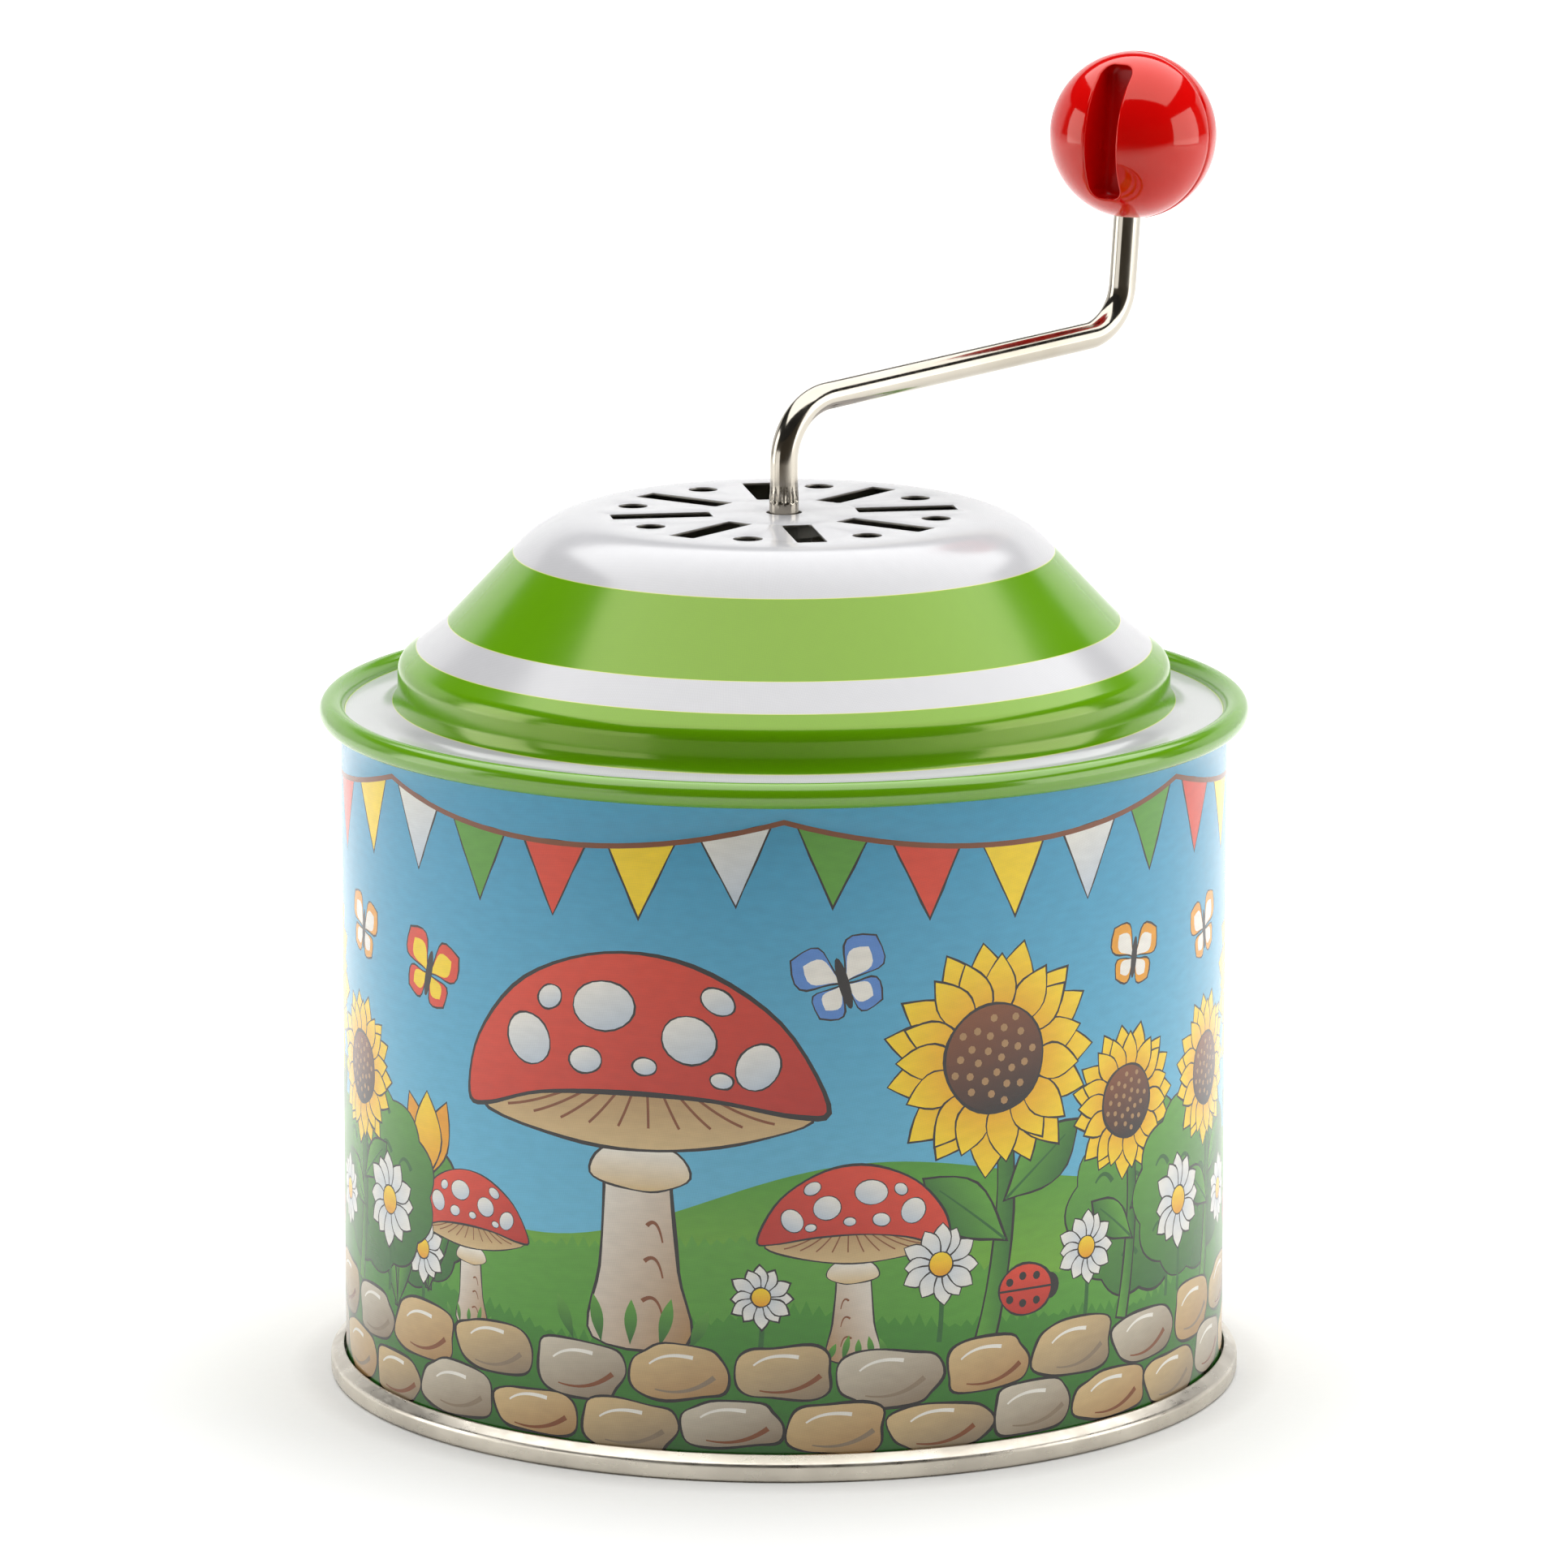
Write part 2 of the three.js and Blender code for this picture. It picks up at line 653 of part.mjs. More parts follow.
/** The bridge over the worm, which holds the spindle's upper end. */
function spindleBridge() {
  const low = plateTop + seatGap;
  const outer = bridgeLeg - bracketSheet;
  const foot = outer - bracketFoot;
  const top = bridgeHeight + bracketSheet;
  const outline = [
    flat(foot, low), flat(bridgeLeg, low), flat(bridgeLeg, bridgeHeight), flat(bridgeReach, bridgeHeight),
    flat(bridgeReach, top), flat(outer, top), flat(outer, low + bracketSheet), flat(foot, low + bracketSheet),
  ];
  const screwHole = drill(screwRadius + runGap, low, low + bracketSheet);
  return raised(outline, -bracketHalfWidth, bracketHalfWidth)
    .rotate(90, 0, 0)
    .subtract(drill(boreRadius, bridgeHeight, top))
    .subtract(screwHole.translate((foot + outer) / 2, 0, 0));
}

/** A slotted screw: the head stands on z = 0 and the shank hangs below it. */
function slottedScrew(length) {
  const body = turned([
    flat(0, -length), flat(screwRadius, -length), flat(screwRadius, 0), flat(screwHeadRadius, 0),
    flat(screwHeadRadius, screwHeadHeight - screwHeadRound),
    flat(screwHeadRadius - screwHeadRound, screwHeadHeight), flat(0, screwHeadHeight),
  ], smallSides);
  const half = screwSlotWidth / 2;
  const floor = screwHeadHeight - screwSlotDepth;
  return body.subtract(block(
    [-screwHeadRadius - overrun, -half, floor],
    [screwHeadRadius + overrun, half, screwHeadHeight + overrun],
  ));
}

const finish = (color, roughness, metalness) => ({ color, roughness, metalness });
const finishes = {
  print: finish(0x4a9ab8, 0.25, 0),
  white: finish(0xe6e6e8, 0.25, 0),
  tin: finish(0xb9b1a0, 0.3, 1),
  nickel: finish(0xc9c0ae, 0.2, 1),
  red: finish(0xc80a05, 0.15, 0),
  zinc: finish(0x9a9b9c, 0.5, 1),
  steel: finish(0xa9adb2, 0.3, 1),
  brass: finish(0xc9a04a, 0.35, 1),
  acetal: finish(0xe9e6da, 0.5, 0),
};

/** A named mesh with a material of its own. */
function piece(name, solid, look) {
  const mesh = new THREE.Mesh(toGeometry(solid), new THREE.MeshStandardMaterial(look));
  mesh.name = name;
  return mesh;
}

/** A group of children at a place. */
function placed(children, x, y, z) {
  const group = new THREE.Group();
  group.position.set(x, y, z);
  if (children.length) group.add(...children);
  return group;
}

/** A named screw at a place, head up or head down. */
function screwAt(name, at, height, length, headDown = false) {
  const mesh = piece(name, slottedScrew(length), finishes.steel);
  mesh.position.set(at.x, at.y, height);
  if (headDown) mesh.rotation.x = Math.PI;
  return mesh;
}

/** The three tinplate shells. */
function shells() {
  return placed([
    piece("body_can", bodyCan(), finishes.print),
    piece("bottom_plate", bottomPlate(), finishes.tin),
    piece("dome_lid", domeLid(), finishes.white),
  ], 0, 0, 0);
}

/** The crank with its knob, standing on the lid's top, and the sleeve below it. */
function crank() {
  const centre = crankCorners()[2].add(new THREE.Vector3(
    handleLength * Math.sin(radians(handleLean)), 0, handleLength * Math.cos(radians(handleLean)),
  ));
  const knob = piece("crank_knob", crankKnob(), finishes.red);
  knob.rotation.z = radians(knobTurn);
  const leaning = placed([knob], centre.x, centre.y, centre.z);
  leaning.rotation.y = radians(handleLean);
  const turned = placed([piece("crank_wire", crankWire(), finishes.nickel), leaning], 0, 0, 0);
  turned.rotation.z = radians(crankTurn);
  const sleeveTop = -sheet - sleeveHeadroom;
  const sleeveFoot = movementHeight + shaftTop - shaftGrip - topHeight;
  return placed([
    turned,
    piece("drive_sleeve", driveSleeve(sleeveFoot, sleeveTop), finishes.acetal),
  ], 0, 0, topHeight);
}

/** The upright spindle with its worm and clip. */
function spindle() {
  const worm = piece("worm", wormScrew(), finishes.acetal);
  worm.position.z = arborHeight;
  const clipLow = bridgeHeight + bracketSheet + seatGap;
  const clip = bar(clipRadius, clipLow, clipLow + clipHeight - seatGap)
    .subtract(drill(boreRadius, clipLow, clipLow + clipHeight));
  return placed([
    piece("worm_shaft", bar(shaftRadius, boreFloor + seatGap, shaftTop, smallSides), finishes.steel),
    worm,
    piece("spindle_clip", clip, finishes.steel),
  ], 0, 0, 0);
}

/** The barrel on its arbor, built along Z and laid along X. */
function barrel() {
  const arbor = bar(arborRadius, leftBracket - bracketSheet, rightBracket + bracketSheet, smallSides);
  const group = placed([
    piece("worm_wheel", wormWheel(), finishes.acetal),
    piece("pinned_barrel", pinnedBarrel(), finishes.brass),
    piece("barrel_cap", barrelCap(), finishes.brass),
    piece("barrel_arbor", arbor, finishes.steel),
  ], 0, arborOffset, arborHeight);
  group.rotation.set(0, Math.PI / 2, 0);
  return group;
}

/** The movement: bedplate, comb, brackets and screws, with the spindle and the barrel in them. */
function movement() {
  const footTop = plateTop + seatGap + bracketSheet + seatGap;
  const footBite = bracketSheet + seatGap + plateThickness;
  const combTop = combHeight + combThickness + seatGap;
  const baseHead = -seatGap - sheet - seatGap;
  return placed([
    piece("bedplate", bedplate(), finishes.zinc),
    piece("music_comb", musicComb(), finishes.steel),
    piece("arbor_bracket_left", arborBracket(leftBracket, -1), finishes.brass),
    piece("arbor_bracket_right", arborBracket(rightBracket, 1), finishes.brass),
    piece("spindle_bridge", spindleBridge(), finishes.brass),
    screwAt("bracket_screw_left", bracketScrews[0], footTop, footBite),
    screwAt("bracket_screw_right", bracketScrews[1], footTop, footBite),
    screwAt("bridge_screw", bracketScrews[2], footTop, footBite),
    ...combScrews.map((at, i) => screwAt(`comb_screw_${i + 1}`, at, combTop, combThickness + screwBite)),
    ...posts.map((at, i) => screwAt(`base_screw_${i + 1}`, at, baseHead, screwBite, true)),
    spindle(),
    barrel(),
  ], 0, 0, movementHeight);
}

const group = new THREE.Group();
group.add(shells(), crank(), movement());

export default group;
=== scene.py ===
"""The looks of a hand-cranked music tin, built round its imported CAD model.

Every piece is in metres in the model's own frame: +Z up, the tin's axis on Z, the viewer towards -Y.
Sizes in the classes below are in millimetres, and a mesh is brought to metres as it is put together.
"""
import logging
import math
from dataclasses import dataclass, field
from enum import Enum

import bmesh
import bpy
import numpy as np
from mathutils import Matrix, Vector
from mathutils.geometry import delaunay_2d_cdt


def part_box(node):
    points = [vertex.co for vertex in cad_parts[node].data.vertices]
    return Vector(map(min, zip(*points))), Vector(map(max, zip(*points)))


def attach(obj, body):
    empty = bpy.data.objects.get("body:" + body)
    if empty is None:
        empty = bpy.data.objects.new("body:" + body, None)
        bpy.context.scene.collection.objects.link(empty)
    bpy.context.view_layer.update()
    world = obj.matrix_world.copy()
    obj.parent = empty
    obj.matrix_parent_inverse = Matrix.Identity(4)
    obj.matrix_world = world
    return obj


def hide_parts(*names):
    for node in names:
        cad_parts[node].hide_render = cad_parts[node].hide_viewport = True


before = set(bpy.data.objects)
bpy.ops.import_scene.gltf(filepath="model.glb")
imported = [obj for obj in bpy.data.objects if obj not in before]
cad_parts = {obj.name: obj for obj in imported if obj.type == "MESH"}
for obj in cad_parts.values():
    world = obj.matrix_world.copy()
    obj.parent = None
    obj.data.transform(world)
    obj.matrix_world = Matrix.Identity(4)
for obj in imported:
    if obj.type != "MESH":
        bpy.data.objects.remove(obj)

LOG = logging.getLogger("music_tin")
MM = 0.001
TAU = 2 * math.pi
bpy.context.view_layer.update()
Pair = tuple[float, float]
Triple = tuple[float, float, float]
Colour = Triple
NOISE_SPAN = (0.3, 0.7)  # nearly all of a noise's values lie between these


def linear(red: float, green: float, blue: float) -> Colour:
    """Turn a screen colour into scene-linear light.

    Args:
        red: Red from 0 to 255.
        green: Green from 0 to 255.
        blue: Blue from 0 to 255.

    Returns:
        The linear colour, each channel from 0 to 1.
    """
    scaled = np.array([red, green, blue]) / 255
    lit = np.where(scaled <= 0.04045, scaled / 12.92, ((scaled + 0.055) / 1.055) ** 2.4)
    return tuple(float(channel) for channel in lit)


class Ink(Enum):
    """The inks of the printed sheets."""

    WHITE = linear(201, 201, 204)
    LID_GREEN = linear(100, 160, 0)
    KEY_LINE = linear(226, 228, 128)
    SKY_HIGH = linear(60, 152, 190)
    SKY_LOW = linear(104, 182, 212)
    HILL_LIT = linear(150, 196, 60)
    HILL_DEEP = linear(72, 146, 36)
    MEADOW_LIT = linear(66, 140, 34)
    MEADOW_DEEP = linear(28, 88, 26)
    LEAF_LIT = linear(92, 158, 50)
    LEAF_DEEP = linear(38, 98, 34)
    RED_LIT = linear(222, 68, 42)
    RED_DEEP = linear(180, 38, 24)
    YELLOW_LIT = linear(250, 214, 34)
    YELLOW_DEEP = linear(230, 156, 14)
    TAN_LIT = linear(212, 184, 134)
    TAN_DEEP = linear(168, 130, 84)
    BROWN = linear(128, 70, 32)
    CREAM = linear(238, 234, 224)
    STONE_LIT = linear(206, 196, 176)
    STONE_DEEP = linear(140, 122, 100)
    SHADE = linear(190, 202, 214)
    SOFT_BLUE = linear(88, 136, 204)
    OUTLINE = linear(30, 24, 20)


# ---------------------------------------------------------------- meshes

def grid_faces(rows: int, columns: int, closed: bool) -> np.ndarray:
    """List the quads of a grid of points.

    The face at (i, j) joins (i, j), (i, j+1), (i+1, j+1) and (i+1, j), so it faces columns x rows.

    Args:
        rows: Number of rows.
        columns: Number of points in a row.
        closed: Whether each row joins its own start.

    Returns:
        Indices, shape (m, 4).
    """
    i, j = np.meshgrid(np.arange(rows - 1), np.arange(columns if closed else columns - 1), indexing="ij")
    right = (j + 1) % columns
    faces = np.stack([i * columns + j, i * columns + right, (i + 1) * columns + right, (i + 1) * columns + j], -1)
    return faces.reshape(-1, 4)


@dataclass
class Skin:
    """One piece's surface, gathered block by block: points in millimetres, faces, slots, inks and sheet places."""

    points: list[np.ndarray] = field(default_factory=list)
    faces: list[np.ndarray] = field(default_factory=list)
    slots: list[int] = field(default_factory=list)
    inks: list[np.ndarray | None] = field(default_factory=list)
    flats: list[np.ndarray | None] = field(default_factory=list)
    count: int = 0

    def add(self, points: np.ndarray, faces: np.ndarray, slot: int = 0, inks: np.ndarray | None = None,
            flats: np.ndarray | None = None) -> None:
        """Add a block.

        Args:
            points: Places, shape (..., 3), in millimetres.
            faces: Indices into those places, shape (m, 3) or (m, 4).
            slot: The material slot of its faces.
            inks: The ink at each face's corners, shape (m, k, 3).
            flats: The place on the flat sheet of each face's corners, shape (m, k, 2), in millimetres.
        """
        self.points.append(points.reshape(-1, 3))
        self.faces.append(faces + self.count)
        self.slots.append(slot)
        self.inks.append(inks)
        self.flats.append(flats)
        self.count += points.size // 3

    def grid(self, points: np.ndarray, slot: int = 0, closed: bool = True, flats: np.ndarray | None = None) -> None:
        """Add a grid of points.

        Args:
            points: The grid, shape (rows, columns, 3).
            slot: Its material slot.
            closed: Whether each row joins its own start.
            flats: Sheet places, shape (rows, columns, 2), with one more column where closed.
        """
        rows, columns = points.shape[:2]
        placed = None
        if flats is not None:
            placed = flats.reshape(-1, 2)[grid_faces(rows, flats.shape[1], False)]
        self.add(points, grid_faces(rows, columns, closed), slot, None, placed)

    def mesh(self, name: str, weld: float = 1e-3, sharp: float = 40.0) -> bpy.types.Mesh:
        """Put everything into one smooth mesh in metres, with doubles merged.

        Args:
            name: The mesh's name.
            weld: Points closer than this become one, in millimetres.
            sharp: Edges that bend by more degrees than this stay sharp.

        Returns:
            The finished mesh.
        """
        sizes = np.concatenate([np.full(len(block), block.shape[1]) for block in self.faces])
        starts = np.concatenate([[0], np.cumsum(sizes)[:-1]])
        loops = np.concatenate([block.ravel() for block in self.faces])
        slots = np.concatenate([np.full(len(block), slot) for block, slot in zip(self.faces, self.slots)])
        mesh = bpy.data.meshes.new(name)
        mesh.vertices.add(self.count)
        mesh.vertices.foreach_set("co", (np.concatenate(self.points) * MM).ravel())
        mesh.loops.add(len(loops))
        mesh.loops.foreach_set("vertex_index", loops.astype(np.int32))
        mesh.polygons.add(len(sizes))
        mesh.polygons.foreach_set("loop_start", starts.astype(np.int32))
        mesh.polygons.foreach_set("material_index", slots.astype(np.int32))
        mesh.update(calc_edges=True)
        if any(block is not None for block in self.inks):
            inks = [np.full((face.size, 3), 0.5) if block is None else block.reshape(-1, 3)
                    for block, face in zip(self.inks, self.faces)]
            colours = np.concatenate([np.concatenate(inks), np.ones((len(loops), 1))], 1)
            layer = mesh.color_attributes.new(name="print", type="FLOAT_COLOR", domain="CORNER")
            layer.data.foreach_set("color", colours.ravel())
        if any(block is not None for block in self.flats):
            flats = [np.zeros((face.size, 2)) if block is None else block.reshape(-1, 2) * MM
                     for block, face in zip(self.flats, self.faces)]
            mesh.uv_layers.new(name="sheet").data.foreach_set("uv", np.concatenate(flats).ravel())
        tidy = bmesh.new()
        tidy.from_mesh(mesh)
        bmesh.ops.remove_doubles(tidy, verts=tidy.verts, dist=weld * MM)
        tidy.to_mesh(mesh)
        tidy.free()
        mesh.polygons.foreach_set("use_smooth", np.ones(len(mesh.polygons), dtype=bool))
        mesh.set_sharp_from_angle(angle=math.radians(sharp))
        mesh.validate()
        return mesh


def turned(profile: np.ndarray, sides: int) -> np.ndarray:
    """Turn a profile about Z: each (r, z) becomes the ring (r cos a, r sin a, z).

    Args:
        profile: Radii and heights, shape (n, 2).
        sides: Points in each ring.

    Returns:
        Places, shape (n, sides, 3).
    """
    angle = np.arange(sides) * TAU / sides
    radius, height = profile[:, :1], profile[:, 1:]
    return np.stack([radius * np.cos(angle), radius * np.sin(angle), height + 0 * angle], -1)


def rounded(corners: list[Triple], step: float = 7.0) -> np.ndarray:
    """Join corners by straight runs, with a tangent arc at each corner that has a radius.

    The arc at a corner starts radius * tan(bend / 2) before it and turns through the bend.

    Args:
        corners: (x, y, radius) of each corner; a radius of zero keeps it sharp.
        step: Largest turning between two points of an arc, in degrees.

    Returns:
        Places, shape (n, 2).
    """
    places = np.array([corner[:2] for corner in corners])
    line = [places[:1]]
    for before, at, after, corner in zip(places, places[1:], places[2:], corners[1:]):
        radius = corner[2]
        if not radius:
            line.append(at[None])
            continue
        into, out = at - before, after - at
        into, out = into / np.hypot(*into), out / np.hypot(*out)
        bend = math.atan2(into[0] * out[1] - into[1] * out[0], into @ out)
        side = np.array([-into[1], into[0]]) * math.copysign(1, bend)
        start = at - into * radius * math.tan(abs(bend) / 2)
        swept = np.linspace(0, abs(bend), max(2, math.ceil(math.degrees(abs(bend)) / step) + 1))[:, None]
        line.append(start + radius * (side * (1 - np.cos(swept)) + into * np.sin(swept)))
    line.append(places[-1:])
    return np.concatenate(line)


def finely(line: np.ndarray, step: float) -> np.ndarray:
    """Divide a line's straight runs evenly, so that none is longer than a step.

    Args:
        line: Places, shape (n, 2).
        step: The longest run.

    Returns:
        The line with more places on it.
    """
    runs = [line[:1]]
    for start, end in zip(line, line[1:]):
        parts = max(1, math.ceil(np.hypot(*(end - start)) / step))
        runs.append(start + (end - start) * (np.arange(1, parts + 1) / parts)[:, None])
    return np.concatenate(runs)


def offset(line: np.ndarray, distance: float, closed: bool = False) -> np.ndarray:
    """Move a line to its left: each point goes along the mean of its two runs' left normals.

    Args:
        line: Places, shape (n, 2).
        distance: How far; to the right where negative.
        closed: Whether the last point joins the first.

    Returns:
        The moved places, shape (n, 2).
    """
    into = line - np.roll(line, 1, 0)
    out = np.roll(line, -1, 0) - line
    if not closed:
        into[0], out[-1] = out[0], into[-1]
    into = into / np.maximum(np.hypot(into[:, 0], into[:, 1]), 1e-12)[:, None]
    out = out / np.maximum(np.hypot(out[:, 0], out[:, 1]), 1e-12)[:, None]
    along = into + out
    along /= np.maximum(np.hypot(along[:, 0], along[:, 1]), 1e-12)[:, None]
    share = np.maximum((into * along).sum(1), 0.5)
    return line + np.stack([-along[:, 1], along[:, 0]], -1) * (distance / share)[:, None]


def within(places: np.ndarray, outline: np.ndarray) -> np.ndarray:
    """Tell which places lie inside a closed outline, by counting the edges that a ray to +x crosses.

    Args:
        places: Places, shape (n, 2).
        outline: The outline's corners, shape (m, 2).

    Returns:
        One truth value for each place.
    """
    inside = np.zeros(len(places), dtype=bool)
    near = np.flatnonzero(((places >= outline.min(0)) & (places <= outline.max(0))).all(1))
    if len(near):
        x, y = places[near, :1], places[near, 1:]
        x0, y0 = outline.T
        x1, y1 = np.roll(x0, -1), np.roll(y0, -1)
        rise = np.where(y1 == y0, 1, y1 - y0)
        crosses = ((y0 > y) != (y1 > y)) & (x < (x1 - x0) * (y - y0) / rise + x0)
        inside[near] = crosses.sum(1) % 2 == 1
    return inside


def triangulated(loops: list[np.ndarray], weld: float,
                 loose: np.ndarray | None = None) -> tuple[np.ndarray, np.ndarray]:
    """Divide the plane into triangles whose edges follow every given line.

    Args:
        loops: Closed outlines, and open lines of two points.
        weld: Points closer than this become one.
        loose: Further corners that lie on no line.

    Returns:
        Corner places, shape (n, 2), and triangles, shape (m, 3), that turn to the left.
    """
    edges, count = [], 0
    for loop in loops:
        index = np.arange(len(loop)) + count
        edges.append(np.stack([index, np.roll(index, -1)], -1)[: 1 if len(loop) == 2 else None])
        count += len(loop)
    points = np.concatenate(loops + ([] if loose is None else [loose]))
    flat = [Vector(place) for place in points.tolist()]
    places, _, faces, *_ = delaunay_2d_cdt(flat, np.concatenate(edges).tolist(), [], 0, weld, False)
    triangles = np.array([face for face in faces if len(face) == 3])
    corners = np.array([tuple(place) for place in places])
    a, b, c = (corners[triangles[:, k]] for k in range(3))
    area = (b - a)[:, 0] * (c - a)[:, 1] - (b - a)[:, 1] * (c - a)[:, 0]
    triangles = np.where(area[:, None] > 0, triangles, triangles[:, ::-1])
    return corners, triangles[np.abs(area) > 1e-9]


def in_use(places: np.ndarray, triangles: np.ndarray) -> tuple[np.ndarray, np.ndarray]:
    """Leave out the corners that no triangle uses."""
    kept, index = np.unique(triangles, return_inverse=True)
    return places[kept], index.reshape(-1, 3)


def cut_plate(outer: np.ndarray, holes: list[np.ndarray],
              loose: np.ndarray | None = None) -> tuple[np.ndarray, np.ndarray]:
    """Fill an outline with triangles, leaving its holes open.

    Args:
        outer: The outline, turning to the left.
        holes: Outlines of the holes.
        loose: Further corners inside.

    Returns:
        Corner places and triangles.
    """
    places, triangles = triangulated([outer, *holes], 1e-5, loose)
    middle = places[triangles].mean(1)
    keep = within(middle, outer)
    for hole in holes:
        keep &= ~within(middle, hole)
    return in_use(places, triangles[keep])


def lifted(places: np.ndarray, height: float) -> np.ndarray:
    """Give flat places, shape (..., 2), a height."""
    return np.concatenate([places, np.full((*places.shape[:-1], 1), height)], -1)


def upright(places: np.ndarray, depth: np.ndarray | float) -> np.ndarray:
    """Stand flat places, shape (n, 2), up in the XZ plane at a depth along Y."""
    return np.stack([places[:, 0], depth + 0 * places[:, 0], places[:, 1]], -1)


def flipped(block: np.ndarray, when: bool) -> np.ndarray:
    """Reverse the rows of faces, or of a grid, so that they face the other way."""
    return block[:, ::-1] if when else block


def quarter_round(steps: int) -> list[Pair]:
    """Step through a quarter circle: how far is left across, and how far it has gone down, as shares."""
    return [(1 - math.sin(t), 1 - math.cos(t)) for t in np.radians(np.linspace(0, 90, steps))]


def heading(turn: float) -> Pair:
    """Give the unit step at an angle in degrees."""
    return math.cos(math.radians(turn)), math.sin(math.radians(turn))


def turned_to(x: np.ndarray, y: np.ndarray, at: Pair, turn: float) -> np.ndarray:
    """Turn a drawing by an angle in degrees and bring it to its place.

    Args:
        x: The drawing's x.
        y: Its y.
        at: Where its origin comes to lie.
        turn: The angle.

    Returns:
        Places, shape (n, 2).
    """
    c, s = heading(turn)
    return np.stack([at[0] + c * x - s * y, at[1] + s * x + c * y], -1)


def ellipse(at: Pair, size: Pair, turn: float = 0.0, count: int = 28) -> np.ndarray:
    """Outline an ellipse: centre plus (a cos t, b sin t), turned by an angle in degrees.

    Args:
        at: Its centre.
        size: Its two half widths, a and b.
        turn: The angle.
        count: Number of points.

    Returns:
        The outline, turning to the left.
    """
    t = np.arange(count) * TAU / count
    return turned_to(size[0] * np.cos(t), size[1] * np.sin(t), at, turn)


def vertex_places(mesh: bpy.types.Mesh) -> np.ndarray:
    """Read a mesh's points in millimetres, shape (n, 3).

    Args:
        mesh: The mesh.

    Returns:
        Its places.
    """
    places = np.empty(len(mesh.vertices) * 3)
    mesh.vertices.foreach_get("co", places)
    return places.reshape(-1, 3) / MM


def new_object(mesh: bpy.types.Mesh, materials: list[bpy.types.Material]) -> bpy.types.Object:
    """Put a mesh into the scene at the origin, with its materials in slot order.

    Args:
        mesh: The mesh.
        materials: One for each slot.

    Returns:
        The new object.
    """
    made = bpy.data.objects.new(mesh.name, mesh)
    for material in materials:
        mesh.materials.append(material)
    bpy.context.scene.collection.objects.link(made)
    return made


def settle(made: bpy.types.Object, body: str, slot: str, *nodes: str) -> None:
    """Let a piece ride on a body, hide the CAD nodes that it stands for, and report it.

    Args:
        made: The piece.
        body: The body that it moves with.
        slot: Not used.
        nodes: The CAD nodes.
    """
    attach(made, body)
    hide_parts(*nodes)
    LOG.info("%s rides on %s in place of %s, %d faces", made.name, body, ", ".join(nodes), len(made.data.polygons))


# ---------------------------------------------------------------- finishes

